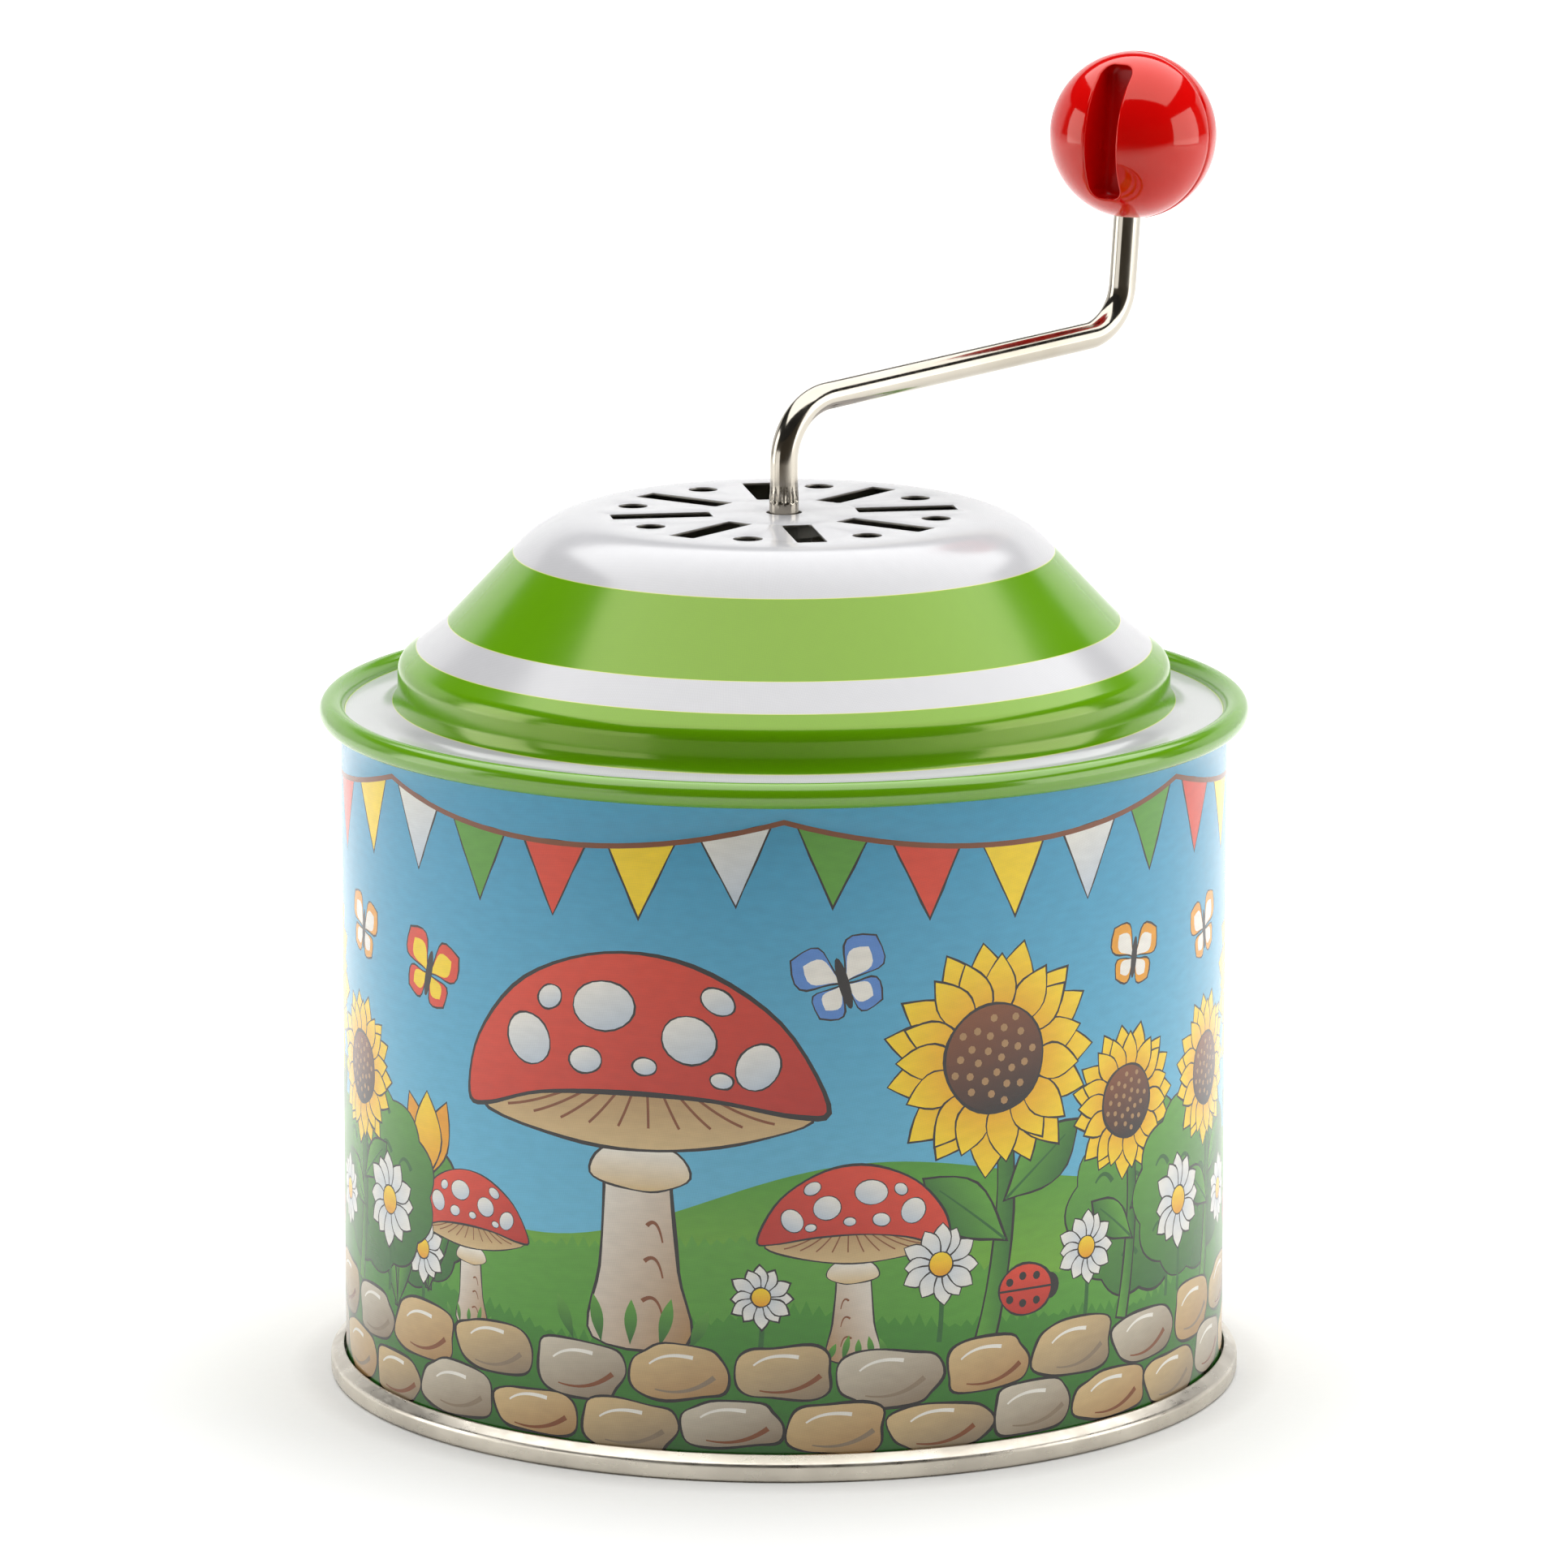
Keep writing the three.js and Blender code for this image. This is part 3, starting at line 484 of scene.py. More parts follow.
class Recipe:
    """A material under construction: makes nodes and links them, so that a finish reads as a sum."""

    def __init__(self, name: str) -> None:
        """Start an empty material with a Principled shader and an output.

        Args:
            name: The material's name.
        """
        self.material = bpy.data.materials.new(name)
        self.material.use_nodes = True
        self.tree = self.material.node_tree
        self.shader = self.tree.nodes["Principled BSDF"]

    def node(self, kind: str, values: dict | None = None, **options: object) -> bpy.types.Node:
        """Make one node.

        Args:
            kind: The node type's name after ShaderNode.
            values: Inputs by name or number, each a value or another node's output.
            options: Properties set on the node itself.

        Returns:
            The new node.
        """
        made = self.tree.nodes.new("ShaderNode" + kind)
        for key, value in options.items():
            setattr(made, key, value)
        for key, value in (values or {}).items():
            self.put(made.inputs[key], value)
        return made

    def put(self, socket: bpy.types.NodeSocket, value: object) -> None:
        """Set a socket to a value, or link it where the value is an output.

        Args:
            socket: The input.
            value: A number, a tuple or another node's output.
        """
        if isinstance(value, bpy.types.NodeSocket):
            self.tree.links.new(value, socket)
        elif isinstance(value, tuple) and socket.type == "RGBA":
            socket.default_value = (*value[:3], 1.0)
        else:
            socket.default_value = value

    def math(self, operation: str, *values: object) -> bpy.types.NodeSocket:
        """Give the result of a Math node with these inputs."""
        return self.node("Math", dict(enumerate(values)), operation=operation).outputs[0]

    def place(self) -> bpy.types.NodeSocket:
        """Give the object's own coordinates."""
        return self.node("TexCoord").outputs["Object"]

    def noise(self, scale: float, detail: float = 2.0, at: bpy.types.NodeSocket | None = None) -> bpy.types.NodeSocket:
        """Give a noise value, by default on the object's own coordinates."""
        values = {"Vector": at or self.place(), "Scale": scale, "Detail": detail}
        return self.node("TexNoise", values).outputs["Fac"]

    def sheet(self) -> bpy.types.NodeSocket:
        """Give the coordinates on the flat sheet, in metres."""
        return self.node("UVMap", uv_map="sheet").outputs[0]

    def uneven(self, scale: float, detail: float, low: float, high: float) -> bpy.types.NodeSocket:
        """Give a value that wanders between two with a noise."""
        return self.ramp(self.noise(scale, detail), *NOISE_SPAN, low, high)

    def grey(self, tone: bpy.types.NodeSocket) -> bpy.types.NodeSocket:
        """Give a tone as a colour."""
        return self.node("CombineColor", {0: tone, 1: tone, 2: tone}).outputs[0]

    def ramp(self, value: object, low: float, high: float, start: float, end: float) -> bpy.types.NodeSocket:
        """Map a value from one range to another, held at the ends."""
        return self.node("MapRange", {0: value, 1: low, 2: high, 3: start, 4: end}).outputs[0]

    def blend(self, share: object, first: object, second: object, kind: str = "MIX") -> bpy.types.NodeSocket:
        """Mix two colours by a share.

        Args:
            share: How much of the second.
            first: The first colour.
            second: The second colour.
            kind: The way of mixing.

        Returns:
            The mixed colour.
        """
        made = self.node("Mix", data_type="RGBA", blend_type=kind)
        for socket, value in zip((made.inputs[0], made.inputs[6], made.inputs[7]), (share, first, second)):
            self.put(socket, value)
        return made.outputs[2]

    def bump(self, height: object, depth: float) -> bpy.types.NodeSocket:
        """Give a normal bent by a height, with its depth in metres."""
        return self.node("Bump", {"Height": height, "Distance": depth, "Strength": 1.0}).outputs[0]

    def done(self, colour: object, roughness: object, metallic: float = 0.0, **sockets: object) -> bpy.types.Material:
        """Finish the shader.

        Args:
            colour: Base colour, a tuple or an output.
            roughness: Roughness, a number or an output.
            metallic: How metallic the surface is.
            sockets: Other inputs of the shader, with _ for a space in their names.

        Returns:
            The finished material.
        """
        for key, value in {"Base_Color": colour, "Roughness": roughness, "Metallic": metallic, **sockets}.items():
            self.put(self.shader.inputs[key.replace("_", " ")], value)
        return self.material


@dataclass(frozen=True)
class Lacquer:
    """Clear lacquer over offset print on tinplate: even gloss, a fine screen of dots, faint orange peel."""

    roughness: float = 0.2
    index: float = 1.52
    dot_pitch: float = 0.24 * MM
    dot_turn: float = math.radians(38)
    dot_depth: float = 0.09
    dry_scale: float = 0.45 / MM
    dry_depth: float = 0.05
    dry_stretch: float = 2.6
    peel_scale: float = 240.0
    peel_depth: float = 0.008 * MM

    def screened(self, recipe: Recipe, ink: object, flat: bpy.types.NodeSocket) -> bpy.types.NodeSocket:
        """Multiply an ink by a screen of dots and by the unevenness of a brushed drawing.

        The dots are sin(x) * sin(y) along two ways of the sheet, turned; the brushing is stretched noise.

        Args:
            recipe: The material that it is made in.
            ink: The printed colour.
            flat: Coordinates on the sheet, in metres.

        Returns:
            The colour as it lies on the sheet.
        """
        turned_flat = recipe.node("Mapping", {"Vector": flat, "Rotation": (0, 0, self.dot_turn)}).outputs[0]
        split = recipe.node("SeparateXYZ", {0: turned_flat})
        waves = [recipe.math("SINE", recipe.math("MULTIPLY", split.outputs[k], TAU / self.dot_pitch)) for k in (0, 1)]
        dots = recipe.ramp(recipe.math("MULTIPLY", *waves), -1, 1, 1 - self.dot_depth, 1 + self.dot_depth)
        brushed = recipe.node("Mapping", {"Vector": flat, "Scale": (1.0, self.dry_stretch, 1.0)}).outputs[0]
        dry = recipe.ramp(recipe.noise(self.dry_scale, 5.0, brushed), *NOISE_SPAN, 1 - self.dry_depth,
                          1 + self.dry_depth)
        return recipe.blend(1.0, ink, recipe.grey(recipe.math("MULTIPLY", dots, dry)), "MULTIPLY")

    def coat(self, recipe: Recipe, colour: object, sheen: object = (1.0, 1.0, 1.0)) -> bpy.types.Material:
        """Lay the lacquer over a colour, its reflections tinted by a sheen, and give the material.

        Args:
            recipe: The material that it is made in.
            colour: What it covers.
            sheen: The tint of its reflections.

        Returns:
            The finished material.
        """
        peel = recipe.bump(recipe.noise(self.peel_scale, 2.0), self.peel_depth)
        smear = recipe.uneven(35.0, 3.0, self.roughness * 0.85, self.roughness * 1.2)
        return recipe.done(colour, smear, Normal=peel, IOR=self.index, Specular_Tint=sheen)


@dataclass(frozen=True)
class Metal:
    """A bare or plated metal: its tint, its gloss, fine marks along one way and slow stains."""

    tint: Colour
    stain: Colour
    roughness: float
    stretch: Triple = (1.0, 1.0, 1.0)
    mark_scale: float = 900.0
    mark_depth: float = 0.003 * MM

    def material(self, name: str) -> bpy.types.Material:
        """Make the metal as a material of that name.

        Args:
            name: The material's name.

        Returns:
            The finished material.
        """
        recipe = Recipe(name)
        stretched = recipe.node("Mapping", {"Vector": recipe.place(), "Scale": self.stretch}).outputs[0]
        marks = recipe.noise(self.mark_scale, 4.0, stretched)
        stains = recipe.ramp(recipe.noise(60.0, 4.0), 0.42, 0.7, 0.0, 1.0)
        colour = recipe.blend(stains, self.tint, self.stain)
        gloss = recipe.ramp(marks, *NOISE_SPAN, self.roughness * 0.75, self.roughness * 1.3)
        return recipe.done(colour, gloss, 1.0, Normal=recipe.bump(marks, self.mark_depth))


@dataclass(frozen=True)
class Moulding:
    """Moulded plastic: an even, slightly cloudy colour with a polished or a matt skin."""

    tint: Colour
    cloud: Colour
    roughness: float
    glow: float = 0.0
    level: float = 0.5
    sheen: Colour = (1.0, 1.0, 1.0)
    ripple_scale: float = 150.0
    ripple_depth: float = 0.006 * MM

    def material(self, name: str) -> bpy.types.Material:
        """Make the plastic as a material of that name.

        Args:
            name: The material's name.

        Returns:
            The finished material.
        """
        recipe = Recipe(name)
        colour = recipe.blend(recipe.ramp(recipe.noise(90.0, 3.0), 0.35, 0.65, 0.0, 1.0), self.tint, self.cloud)
        gloss = recipe.uneven(400.0, 2.0, self.roughness * 0.8, self.roughness * 1.25)
        normal = recipe.bump(recipe.noise(self.ripple_scale, 3.0), self.ripple_depth)
        return recipe.done(colour, gloss, Normal=normal, Subsurface_Weight=self.glow, Subsurface_Scale=1.2 * MM,
                           Specular_IOR_Level=self.level, Specular_Tint=self.sheen)


CAN_LACQUER = Lacquer()
LID_LACQUER = Lacquer(roughness=0.17, index=1.78, dry_depth=0.012, dry_stretch=1.0)
TINPLATE = Metal((0.72, 0.67, 0.58), (0.46, 0.42, 0.36), 0.31, (1.0, 1.0, 3.0), 420.0, 0.014 * MM)
TIN_INSIDE = Metal((0.52, 0.50, 0.45), (0.38, 0.36, 0.32), 0.35)
NICKEL = Metal((0.46, 0.425, 0.365), (0.38, 0.345, 0.285), 0.13, (1.0, 1.0, 0.25), 1300.0, 0.0015 * MM)
STEEL = Metal((0.56, 0.57, 0.58), (0.40, 0.41, 0.42), 0.3, (0.15, 1.0, 1.0))
BRASS = Metal((0.76, 0.56, 0.24), (0.60, 0.42, 0.16), 0.28, (0.2, 1.0, 1.0))
ZINC_CAST = Metal((0.42, 0.42, 0.43), (0.30, 0.30, 0.31), 0.55, (1.0, 1.0, 1.0), 500.0, 0.03 * MM)
KNOB_RED = Moulding(linear(222, 5, 4), linear(216, 4, 3), 0.07, 0.03, sheen=(1.0, 0.95, 0.8))
# a little darker red than the ball's outside: painted shade inside the pocket, with a matt skin that reflects less
KNOB_POCKET_SHADED = Moulding(linear(214, 3, 3), linear(206, 3, 3), 0.22, 0.03, level=0.25)
ACETAL = Moulding((0.80, 0.78, 0.70), (0.72, 0.70, 0.62), 0.42, 0.05)


# ---------------------------------------------------------------- the printed picture

@dataclass(frozen=True)
class Patch:
    """One flat area of the print: its outline in millimetres, and two inks that run into each other.

    The share of the second ink grows from 0 to 1 across the outline's reach along a direction.
    """

    outline: np.ndarray
    first: Colour
    second: Colour
    along: Pair = (0.0, -1.0)

    def colours(self, places: np.ndarray) -> np.ndarray:
        """Give the ink at each place, shape (n, 3).

        Args:
            places: Places, shape (n, 2).

        Returns:
            One colour for each place.
        """
        way = np.array(self.along) / np.hypot(*self.along)
        reach = self.outline @ way
        share = np.clip((places @ way - reach.min()) / max(float(np.ptp(reach)), 1e-6), 0, 1)[:, None]
        return (1 - share) * np.array(self.first) + share * np.array(self.second)

    def moved(self, shift: float) -> "Patch":
        """Give the same patch further along the sheet."""
        return Patch(self.outline + [shift, 0], self.first, self.second, self.along)


def petal(at: Pair, length: float, width: float, turn: float, peak: float = 0.55) -> np.ndarray:
    """Outline a petal: its half width at share t of its length is width / 2 * sin(pi * t ** power).

    The power puts the widest place at the share `peak` of the length.

    Args:
        at: Its root.
        length: From root to tip.
        width: At its widest place.
        turn: Its direction in degrees.
        peak: Where it is widest.

    Returns:
        The outline, turning to the left.
    """
    t = np.linspace(0, 1, 10)
    half = width / 2 * np.sin(np.pi * t ** (math.log(0.5) / math.log(peak)))
    x = np.concatenate([t, t[-2:0:-1]]) * length
    return turned_to(x, np.concatenate([-half, half[-2:0:-1]]), at, turn)


def smooth(points: list[Pair], steps: int = 5) -> np.ndarray:
    """Run a closed Catmull-Rom curve through points: each span is the usual cubic of its four neighbours.

    Args:
        points: The points.
        steps: Places on each span.

    Returns:
        The curve, shape (n, 2).
    """
    p = np.array(points, dtype=float)
    t = np.linspace(0, 1, steps, endpoint=False)[:, None, None]
    before, after, beyond = np.roll(p, 1, 0), np.roll(p, -1, 0), np.roll(p, -2, 0)
    curve = 0.5 * (
        2 * p + (after - before) * t + (2 * before - 5 * p + 4 * after - beyond) * t**2
        + (3 * p - before - 3 * after + beyond) * t**3
    )
    return curve.transpose(1, 0, 2).reshape(-1, 2)


def stroke(points: list[Pair], start: float, end: float, steps: int = 12) -> np.ndarray:
    """Outline a brush stroke along a quadratic curve of three points, its width running from start to end.

    Args:
        points: Start, pull and end of the curve.
        start: Its first width.
        end: Its last width.
        steps: Places along it.

    Returns:
        The outline.
    """
    a, b, c = (np.array(point, dtype=float) for point in points)
    t = np.linspace(0, 1, steps)[:, None]
    line = (1 - t) ** 2 * a + 2 * t * (1 - t) * b + t**2 * c
    slope = 2 * (1 - t) * (b - a) + 2 * t * (c - b)
    side = np.stack([slope[:, 1], -slope[:, 0]], -1) / np.hypot(slope[:, 0], slope[:, 1])[:, None]
    half = (start + (end - start) * t) / 2
    return np.concatenate([line + side * half, (line - side * half)[::-1]])


class GardenPrint:
    """The picture on the can's wall: a garden of toadstools and flowers under a string of pennants.

    It is laid out flat, in millimetres: x runs round the can from the middle of the front, y is the height.
    Patches lie in the order in which they are printed, each over the ones before.
    """

    OVERLAP = 2.0  # how far the ground runs on below the sheet
    SKY_FOOT = 24.0  # where the sky is palest
    STONE_ROWS = ((11.6, 3.0, 5.4), (5.6, 2.7, 5.5))  # height, half height and half width of the stones
    STONE_TONES = ((Ink.TAN_LIT, Ink.TAN_DEEP), (Ink.STONE_LIT, Ink.STONE_DEEP), (Ink.TAN_LIT, Ink.STONE_DEEP))

    def __init__(self, girth: float, low: float, high: float) -> None:
        """Draw everything.

        Args:
            girth: The wall's length round the can.
            low: Height of the sheet's lower edge.
            high: Height of the sheet's upper edge.
        """
        self.girth, self.low, self.high = girth, low, high
        self.patches: list[Patch] = []
        self.draw_hills()
        self.draw_bunting(swags=6, per_swag=5)
        for third, flip in ((0, 1), (1, -1), (2, 1)):
            self.draw_third(third * girth / 3, flip)
        self.draw_border(stones=27)

    def lay(self, outline: np.ndarray, first: Ink, second: Ink | None = None,
            along: Pair = (0.0, -1.0), edge: float = 0.0) -> None:
        """Print one patch, over a darker and wider one where it is outlined.

        Args:
            outline: Its corners.
            first: Ink at its start.
            second: Ink at its end.
            along: Direction from start to end.
            edge: Width of the dark line round it, which swells and thins like a brush line.
        """
        x, y = outline.T
        if (x * np.roll(y, -1) - np.roll(x, -1) * y).sum() < 0:
            outline = outline[::-1]
        if edge:
            t = np.arange(len(outline)) / len(outline) * TAU
            width = edge * (0.85 + 0.35 * np.sin(3 * t + outline[0, 0]) * np.sin(2 * t + outline[0, 1]))
            wide = outline + (offset(outline, -1.0, True) - outline) * width[:, None]
            self.patches.append(Patch(wide, Ink.OUTLINE.value, Ink.OUTLINE.value))
        self.patches.append(Patch(outline, first.value, (second or first).value, along))

    def ground(self, height: float, waves: list[tuple[float, int, float]], grass: float = 0.0) -> np.ndarray:
        """Outline the ground under a wavy skyline that closes round the can.

        Args:
            height: Mean height of the skyline.
            waves: (size, count, phase) of each wave: the sum of size * sin(count * angle + phase).
            grass: Height of the blades along it.

        Returns:
            The ground's outline.
        """
        blades = 460 if grass else 180
        x = np.linspace(-0.51, 0.51, blades) * self.girth
        angle = x * TAU / self.girth
        y = height + sum(size * np.sin(count * angle + phase) for size, count, phase in waves)
        tips = (np.arange(blades) % 2) * (0.6 + 0.4 * np.sin(37 * angle) * np.sin(11 * angle + 1))
        foot = self.low - self.OVERLAP
        return np.concatenate([np.stack([x, y + grass * tips], -1), [[x[-1], foot], [x[0], foot]]])

    def draw_hills(self) -> None:
        """Print the far hills, the meadow and the dark band at the foot."""
        self.lay(self.ground(31, [(3.4, 3, 0.4), (1.8, 5, 1.1)]), Ink.HILL_LIT, Ink.HILL_DEEP, (0, 1))
        self.lay(self.ground(24.5, [(2.6, 4, 2.1), (1.2, 7, 0.3)], 1.4), Ink.MEADOW_LIT, Ink.LEAF_LIT, (0, 1))
        self.lay(self.ground(16.5, [(1.6, 5, 1.0), (0.8, 9, 2.0)], 1.6), Ink.MEADOW_DEEP, Ink.MEADOW_LIT, (0, 1))

    def draw_bunting(self, swags: int, per_swag: int) -> None:
        """Print the string of pennants: each swag hangs as a parabola between two points under the rim.

        Args:
            swags: Number of swags.
            per_swag: Pennants on each.
        """
        span, peg, sag = self.girth / swags, 73.4, 3.6
        flags = [Ink.RED_LIT, Ink.YELLOW_LIT, Ink.CREAM, Ink.LEAF_LIT]
        for swag in range(swags):
            left = (swag - swags / 2) * span
            t = np.linspace(0, 1, 21)
            cord = np.stack([left + t * span, peg - 4 * sag * t * (1 - t)], -1)
            for k in range(per_swag):
                ends = np.array([0.14, 0.86]) / per_swag + k / per_swag
                x, y = left + ends * span, peg - 4 * sag * ends * (1 - ends)
                tip = (x.mean() + 0.4 * math.sin(5 * k + swag), y.mean() - 8.0)
                corners = np.array([(x[0], y[0]), tip, (x[1], y[1])])
                outline = np.concatenate([np.linspace(corners[i], corners[(i + 1) % 3], 6)[:-1] for i in range(3)])
                colour = flags[(k + swag) % 4]
                self.lay(outline, colour, Ink.SHADE if colour is Ink.CREAM else colour, (0.4, -1.0), 0.26)
            self.lay(np.concatenate([cord - [0, 0.3], (cord + [0, 0.3])[::-1]]), Ink.BROWN)

    def draw_third(self, x: float, flip: int) -> None:
        """Print one third of the garden.

        Args:
            x: Its middle.
            flip: 1 as drawn, or -1 with left and right exchanged.
        """
        self.bush(x + flip * 47, 27, 1.0)
        self.bush(x - flip * 49, 25, 0.8)
        self.sunflower(x + flip * 24, 46.0, 13.0, 14)
        self.sunflower(x + flip * 43, 38.5, 8.6, 14)
        self.tulip(x - flip * 45.5, 34, 6.2, Ink.YELLOW_LIT, Ink.YELLOW_DEEP)
        self.toadstool(x - flip * 17, 15, 1.0, flip)
        self.toadstool(x + flip * 8, 13.5, 0.5, -flip)
        self.toadstool(x - flip * 38.5, 14, 0.4, flip)
        self.tulip(x - flip * 52, 29, 5.6, Ink.RED_LIT, Ink.RED_DEEP)
        for across, y, size in ((17.5, 23.5, 4.4), (51, 25.0, 5.2), (36.5, 23.0, 4.0), (-2.5, 20.5, 3.4),
                                (-46.5, 21.0, 3.8)):
            self.daisy(x + flip * across, y, size)
        self.ladybird(x + flip * 28, 19.5, 2.8, flip)
        self.butterfly(x + flip * 6.5, 55.5, 4.8, 16 * flip, Ink.CREAM, Ink.SOFT_BLUE)
        self.butterfly(x - flip * 45, 52.5, 4.4, -14 * flip, Ink.YELLOW_LIT, Ink.RED_LIT)
        self.butterfly(x + flip * 44, 54.5, 3.8, -8 * flip, Ink.CREAM, Ink.YELLOW_DEEP)

    def toadstool(self, x: float, y: float, size: float, flip: int) -> None:
        """Print a toadstool: a tapered stem, gills under a wide cap, and pale spots on it.

        Args:
            x: The stem's foot.
            y: The ground under it.
            size: 1 for the large one.
            flip: Which way it leans.
        """
        def at(points: list[Pair]) -> list[Pair]:
            """Bring points of the drawing to their place and size."""
            return [(x + flip * size * a, y + size * b) for a, b in points]

        stem = smooth(at([(-4.6, 0), (-3.6, 8), (-3.0, 17), (-2.2, 27), (4.2, 27), (4.4, 17), (5.2, 8), (6.2, 0)]))
        self.lay(stem, Ink.CREAM, Ink.TAN_DEEP, (flip * 1.0, -0.5), 0.45 * size)
        for k, height in enumerate((4.5, 9.0, 13.0)):
            mark = at([(1.2 + 0.3 * k, height), (3.0, height + 1.4), (3.6, height - 1.8)])
            self.lay(stroke(mark, 0.5 * size, 0.2 * size), Ink.BROWN)
        skirt = smooth(at([(-4.8, 18.5), (-1.0, 17.2), (3.0, 17.0), (6.6, 18.6), (4.4, 21.6), (-2.6, 21.6)]))
        self.lay(skirt, Ink.CREAM, Ink.TAN_LIT, edge=0.3 * size)
        gills = smooth(at([(-19, 24.8), (-8, 22.2), (3, 21.6), (14, 23.2), (20, 25.8), (9, 29.4), (-9, 29.4)]))
        self.lay(gills, Ink.TAN_LIT, Ink.TAN_DEEP, (0, 1), 0.4 * size)
        for k in range(10):
            a = -15.5 + 3.5 * k
            rib = at([(0.45 * a + 1, 28.2), (0.75 * a + 0.5, 25.6), (a, 23.9 + 0.004 * a * a)])
            self.lay(stroke(rib, 0.3 * size, 0.3 * size), Ink.BROWN)
        cap = smooth(at([(-21, 25.4), (-19.5, 32), (-13, 39.2), (-3, 43.0), (7, 42.0), (16.5, 36.0), (21.6, 27.0),
                         (18.6, 26.0), (9, 27.6), (-1, 28.0), (-11, 27.0), (-18.4, 24.8)]))
        self.lay(cap, Ink.RED_LIT, Ink.RED_DEEP, (flip * 0.5, -1.0), 0.55 * size)
        spots = [(-12.6, 32.6, 2.6, 2.9, 40), (-3.2, 37.2, 3.6, 2.7, 4), (-5.4, 31.0, 1.9, 1.4, 8),
                 (6.6, 34.0, 3.0, 2.6, -14), (14.2, 31.2, 2.2, 2.7, -38), (1.6, 30.8, 1.3, 0.9, 0),
                 (9.8, 38.4, 1.9, 1.3, -28), (-9.8, 37.6, 1.5, 1.2, 34), (10.2, 29.6, 1.2, 0.8, -8)]
        for a, b, wide, tall, lean in spots:
            centre = at([(a, b)])[0]
            self.lay(ellipse(centre, (wide * size, tall * size), lean * flip, 20), Ink.CREAM, Ink.SHADE,
                     (flip * 0.4, -1.0), 0.24 * size)
        for k in range(5):
            foot = at([(-7 + 3.4 * k, -0.6)])[0]
            self.lay(petal(foot, 5.4 * size + 0.8 * math.sin(3 * k), 1.5 * size, 112 - 12 * k), Ink.MEADOW_DEEP,
                     Ink.LEAF_LIT, (0, 1))

    def sunflower(self, x: float, y: float, size: float, foot: float) -> None:
        """Print a sunflower: stem, two leaves, two rings of petals and a seeded disc.

        Args:
            x: Its head's middle.
            y: Its head's height.
            size: From the middle to the petals' tips.
            foot: Height of the ground.
        """
        self.lay(stroke([(x, y), (x + 0.25 * size, (y + foot) / 2), (x - 0.1 * size, foot)], 0.13 * size,
                        0.17 * size), Ink.LEAF_LIT, Ink.LEAF_DEEP, (1.0, 0.0), 0.28)
        for side, share in ((-1, 0.36), (1, 0.5)):
            root = (x + 0.1 * size, foot + (y - foot) * share)
            turn = 90 - side * 52
            way = heading(turn)
            self.lay(petal(root, 0.95 * size, 0.46 * size, turn), Ink.LEAF_LIT, Ink.LEAF_DEEP, (side, -0.6), 0.3)
            vein = [(root[0] + t * size * way[0], root[1] + t * size * way[1] + b)
                    for t, b in ((0, 0), (0.4, 0.2), (0.78, 0))]
            self.lay(stroke(vein, 0.34, 0.16), Ink.LEAF_DEEP)
        for ring, reach, width in ((0, 1.0, 0.36), (1, 0.88, 0.3)):
            for k in range(15):
                turn = 24 * (k + ring / 2) + 4 * math.sin(2.3 * k)
                length = size * (reach - 0.3 + 0.05 * math.sin(3.1 * k))
                c, s = heading(turn)
                root = (x + 0.3 * size * c, y + 0.3 * size * s)
                self.lay(petal(root, length, width * size, turn, 0.5), Ink.YELLOW_LIT, Ink.YELLOW_DEEP, (-c, -s), 0.24)
        self.lay(ellipse((x, y), (0.46 * size, 0.46 * size), 0, 36), Ink.BROWN, Ink.OUTLINE, (0.3, -1.0), 0.35)
        for k in range(26):
            radius, turn = 0.4 * size * math.sqrt((k + 0.5) / 26), 2.4 * k
            seed = (x + radius * math.cos(turn), y + radius * math.sin(turn))
            self.lay(ellipse(seed, (0.035 * size, 0.035 * size), 0, 7), Ink.TAN_DEEP)

    def daisy(self, x: float, y: float, size: float) -> None:
        """Print a daisy: twelve pale petals round a yellow button, on a short stem.

        Args:
            x: Its middle.
            y: Its height.
            size: A petal's length.
        """
        self.lay(stroke([(x, y), (x + 0.3, y - size), (x - 0.2, y - 2.0 * size)], 0.5, 0.6), Ink.LEAF_DEEP)
        for k in range(12):
            turn = 30 * k + 5 * math.sin(1.7 * k + x)
            c, s = heading(turn)
            length = size * (1 + 0.06 * math.sin(2.9 * k))
            self.lay(petal((x, y), length, 0.46 * size, turn, 0.64), Ink.CREAM, Ink.SHADE, (-c, -s), 0.2)
        self.lay(ellipse((x, y), (0.3 * size, 0.3 * size), 0, 18), Ink.YELLOW_LIT, Ink.YELLOW_DEEP, edge=0.2)

    def tulip(self, x: float, y: float, size: float, lit: Ink, deep: Ink) -> None:
        """Print a tulip: stem, two long leaves and a cup of three petals.

        Args:
            x: Its middle.
            y: The cup's height.
            size: The cup's scale.
            lit: Ink of the front petal.
            deep: Ink of the others.
        """
        foot = y - 2.8 * size
        self.lay(stroke([(x, y - 0.4 * size), (x + 0.5, (y + foot) / 2), (x, foot)], 0.7, 0.9), Ink.LEAF_LIT,
                 Ink.LEAF_DEEP, edge=0.22)
        for side in (-1, 1):
            self.lay(petal((x, foot), 2.0 * size, 0.42 * size, 90 - side * 20), Ink.LEAF_LIT, Ink.LEAF_DEEP,
                     (side, -0.4), 0.26)
        for turn, tint, width in ((112, deep, 0.66), (68, deep, 0.66), (90, lit, 0.8)):
            self.lay(petal((x, y - 0.7 * size), 1.5 * size, width * size, turn, 0.46), tint, deep, (0.3, -1.0), 0.28)

